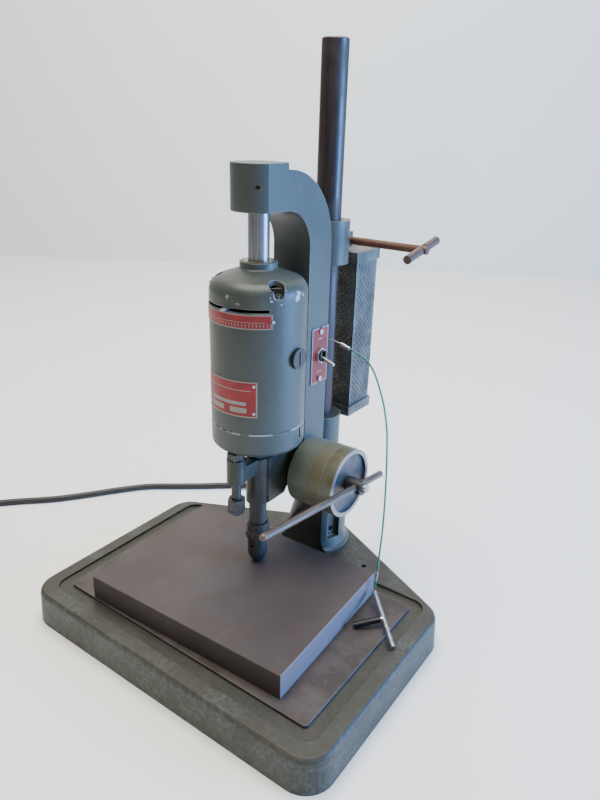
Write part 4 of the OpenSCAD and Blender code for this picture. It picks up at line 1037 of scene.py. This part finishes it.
@dataclass
class Castings:
    """The base, pedestal, column, head frame and loose block."""

    shop: Shop

    def build(self) -> None:
        """Dresses the castings and what is screwed to them."""
        dress = self.shop.dress
        dress("base_finish", "base_casting")
        dress("frame_paint", "head_frame")
        dress("pedestal_paint", "pedestal")
        dress("column_steel", "column")
        dress("block_iron", "work_block")
        dress("bright_rod", "guide_rod")
        dress("dark_steel", "pedestal_screws", "column_lock_screw", "guide_rod_screw")
        dress("switch_red", "switch_plate")
        dress("bright_steel", "switch_screws", "switch_nut", "toggle_lever")
        dress("bakelite", "switch_body")
        dress("rusty_steel", "clamp_screw")
        dress("bar_steel", "clamp_bar")


@dataclass
class MotorUnit:
    """The sliding motor, its quill and the chuck."""

    shop: Shop

    def build(self) -> None:
        """Dresses the motor, inside and out."""
        dress = self.shop.dress
        dress("motor_paint", "motor_housing")
        dress("bell_paint", "end_bell")
        dress("bronze", "guide_bush", "brush_holders")
        dress("galvanised", "bearing_plate", "fan")
        dress("bright_steel", "bearings", "feed_rack", "spindle", "speed_ring", "plate_rivets", "chuck_jaws")
        dress("dark_steel", "stator", "housing_screws", "depth_nuts", "chuck_ring")
        dress("carbon", "brushes")
        dress("bakelite", "brush_caps")
        dress("plate_red", "motor_plates")
        dress("chuck_steel", "quill", "chuck_body", "depth_rod")
        dress("copper", "armature", "commutator")


@dataclass
class Feed:
    """The feed drum, its shaft and its lever."""

    shop: Shop

    def build(self) -> None:
        """Dresses the drum and lever."""
        dress = self.shop.dress
        dress("drum_paint", "drum_housing")
        dress("ring_paint", "drum_ring")
        dress("drum_face_steel", "drum_face")
        dress("dark_steel", "return_spring", "feed_shaft")
        dress("bright_steel", "feed_pinion", "lever_knob")
        dress("lever_steel", "lever_rod")


# ------------------------------------------------------------------ stage


@dataclass(frozen=True)
class Lamp:
    """One soft square lamp: where it hangs, where it points, its side in metres and its power in watts."""

    name: str
    at: Point
    towards: Point
    size: float
    power: float
    colour: Colour

    def hang(self) -> None:
        """Makes the lamp."""
        data = bpy.data.lights.new(self.name, "AREA")
        data.shape, data.size, data.energy, data.color = "SQUARE", self.size, self.power, self.colour
        lamp = bpy.data.objects.new(self.name, data)
        bpy.context.scene.collection.objects.link(lamp)
        lamp.visible_camera = False
        lamp.location = self.at
        lamp.rotation_euler = (Vector(self.towards) - Vector(self.at)).to_track_quat("-Z", "Y").to_euler()


@dataclass
class Studio:
    """The camera, the floor, the wall and the lights."""

    camera_at: Point = (0.36976, -0.45802, 0.48948)
    yaw: float = 0.611424
    pitch: float = 0.392473
    roll: float = -0.02921
    lens: float = 29.9907
    sensor: float = 36.0
    clip_end: float = 50.0
    floor_side: float = 14.0
    wall_from: tuple[float, float] = (-1.457, 1.322)
    wall_to: tuple[float, float] = (-0.551, 1.892)
    wall_size: tuple[float, float] = (16.0, 9.0)
    floor_colour: Colour = (0.8, 0.8, 0.79)
    wall_colour: Colour = (0.8, 0.78, 0.71)
    room_light: Colour = (1.0, 0.98, 0.93)
    room_strength: float = 0.2
    lamps: tuple[Lamp, ...] = (
        Lamp("window", (1.8, 0.85, 0.5), (0, 0.05, 0.22), 0.9, 112, (0.17, 0.44, 1.0)),
        Lamp("fill", (-1.2, -1.6, 1.3), (0, 0, 0.2), 1.6, 1, (1.0, 0.97, 0.86)),
        Lamp("ceiling", (-0.1, -0.14, 2.3), (-0.05, 0.12, 0.1), 1.8, 104, (1.0, 0.96, 0.87)),
        Lamp("wall wash", (-0.5, 0.75, 2.7), (-1.15, 1.6, 0.5), 1.6, 50, (1.0, 0.96, 0.88)),
    )

    def camera(self) -> None:
        """Makes the camera at its measured place and angle."""
        data = bpy.data.cameras.new("camera")
        data.lens, data.sensor_width, data.clip_end = self.lens, self.sensor, self.clip_end
        camera = bpy.data.objects.new("camera", data)
        bpy.context.scene.collection.objects.link(camera)
        level = math.cos(self.pitch)
        ahead = Vector((-math.sin(self.yaw) * level, math.cos(self.yaw) * level, -math.sin(self.pitch)))
        right = Vector((math.cos(self.yaw), math.sin(self.yaw), 0))
        down = ahead.cross(right)
        cosine, sine = math.cos(self.roll), math.sin(self.roll)
        across, below = right * cosine + down * sine, down * cosine - right * sine
        camera.matrix_world = Matrix.Translation(self.camera_at) @ Matrix(
            (across, -below, -ahead)).transposed().to_4x4()
        bpy.context.scene.camera = camera

    def plain(self, name: str, colour: Colour, roughness: float) -> bpy.types.Material:
        """A faintly uneven pale surface."""
        r = Recipe(name)
        cloud = r.noise(2.5, 4)
        return r.finish(Base_Color=r.mix(cloud * 0.25, colour, tuple(c * 0.93 for c in colour)),
                        Roughness=roughness + cloud * 0.08)

    def surfaces(self) -> None:
        """Makes the floor and the wall behind."""
        bpy.ops.object.select_all(action="DESELECT")
        bpy.ops.mesh.primitive_plane_add(size=self.floor_side, location=(0, 0, 0))
        floor = bpy.context.view_layer.objects.active
        settled(floor, "floor", self.plain("floor", self.floor_colour, 0.42))
        start, end = Vector((*self.wall_from, 0)), Vector((*self.wall_to, 0))
        way = (end - start).normalized()
        middle = (start + end) / 2
        bpy.ops.object.select_all(action="DESELECT")
        bpy.ops.mesh.primitive_plane_add(size=1)
        wall = bpy.context.view_layer.objects.active
        upright = Matrix((way, Vector((0, 0, 1)), way.cross(Vector((0, 0, 1))))).transposed().to_4x4()
        wall.data.transform(Matrix.Translation(middle) @ upright @ Matrix.Diagonal((*self.wall_size, 1, 1)))
        settled(wall, "wall", self.plain("wall", self.wall_colour, 0.75))

    def light(self) -> None:
        """Makes the lamps and the surrounding light."""
        for lamp in self.lamps:
            lamp.hang()
        world = bpy.data.worlds.new("room")
        world.use_nodes = True
        glow = world.node_tree.nodes["Background"]
        glow.inputs["Color"].default_value = (*self.room_light, 1)
        glow.inputs["Strength"].default_value = self.room_strength
        bpy.context.scene.world = world


def main() -> None:
    """Builds the machine round the frame."""
    logging.basicConfig(level=logging.INFO, format="%(name)s: %(message)s")
    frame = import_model()
    shop = Shop(frame["nodes"], finishes())
    studio = Studio()
    studio.camera()
    for assembly in (MainsCord, KeyTether, Castings, MotorUnit, Feed, PerforatedCage):
        assembly(shop).build()
        LOG.info("built %s", assembly.__name__)
    studio.surfaces()
    studio.light()


if __name__ == "__main__":
    main()
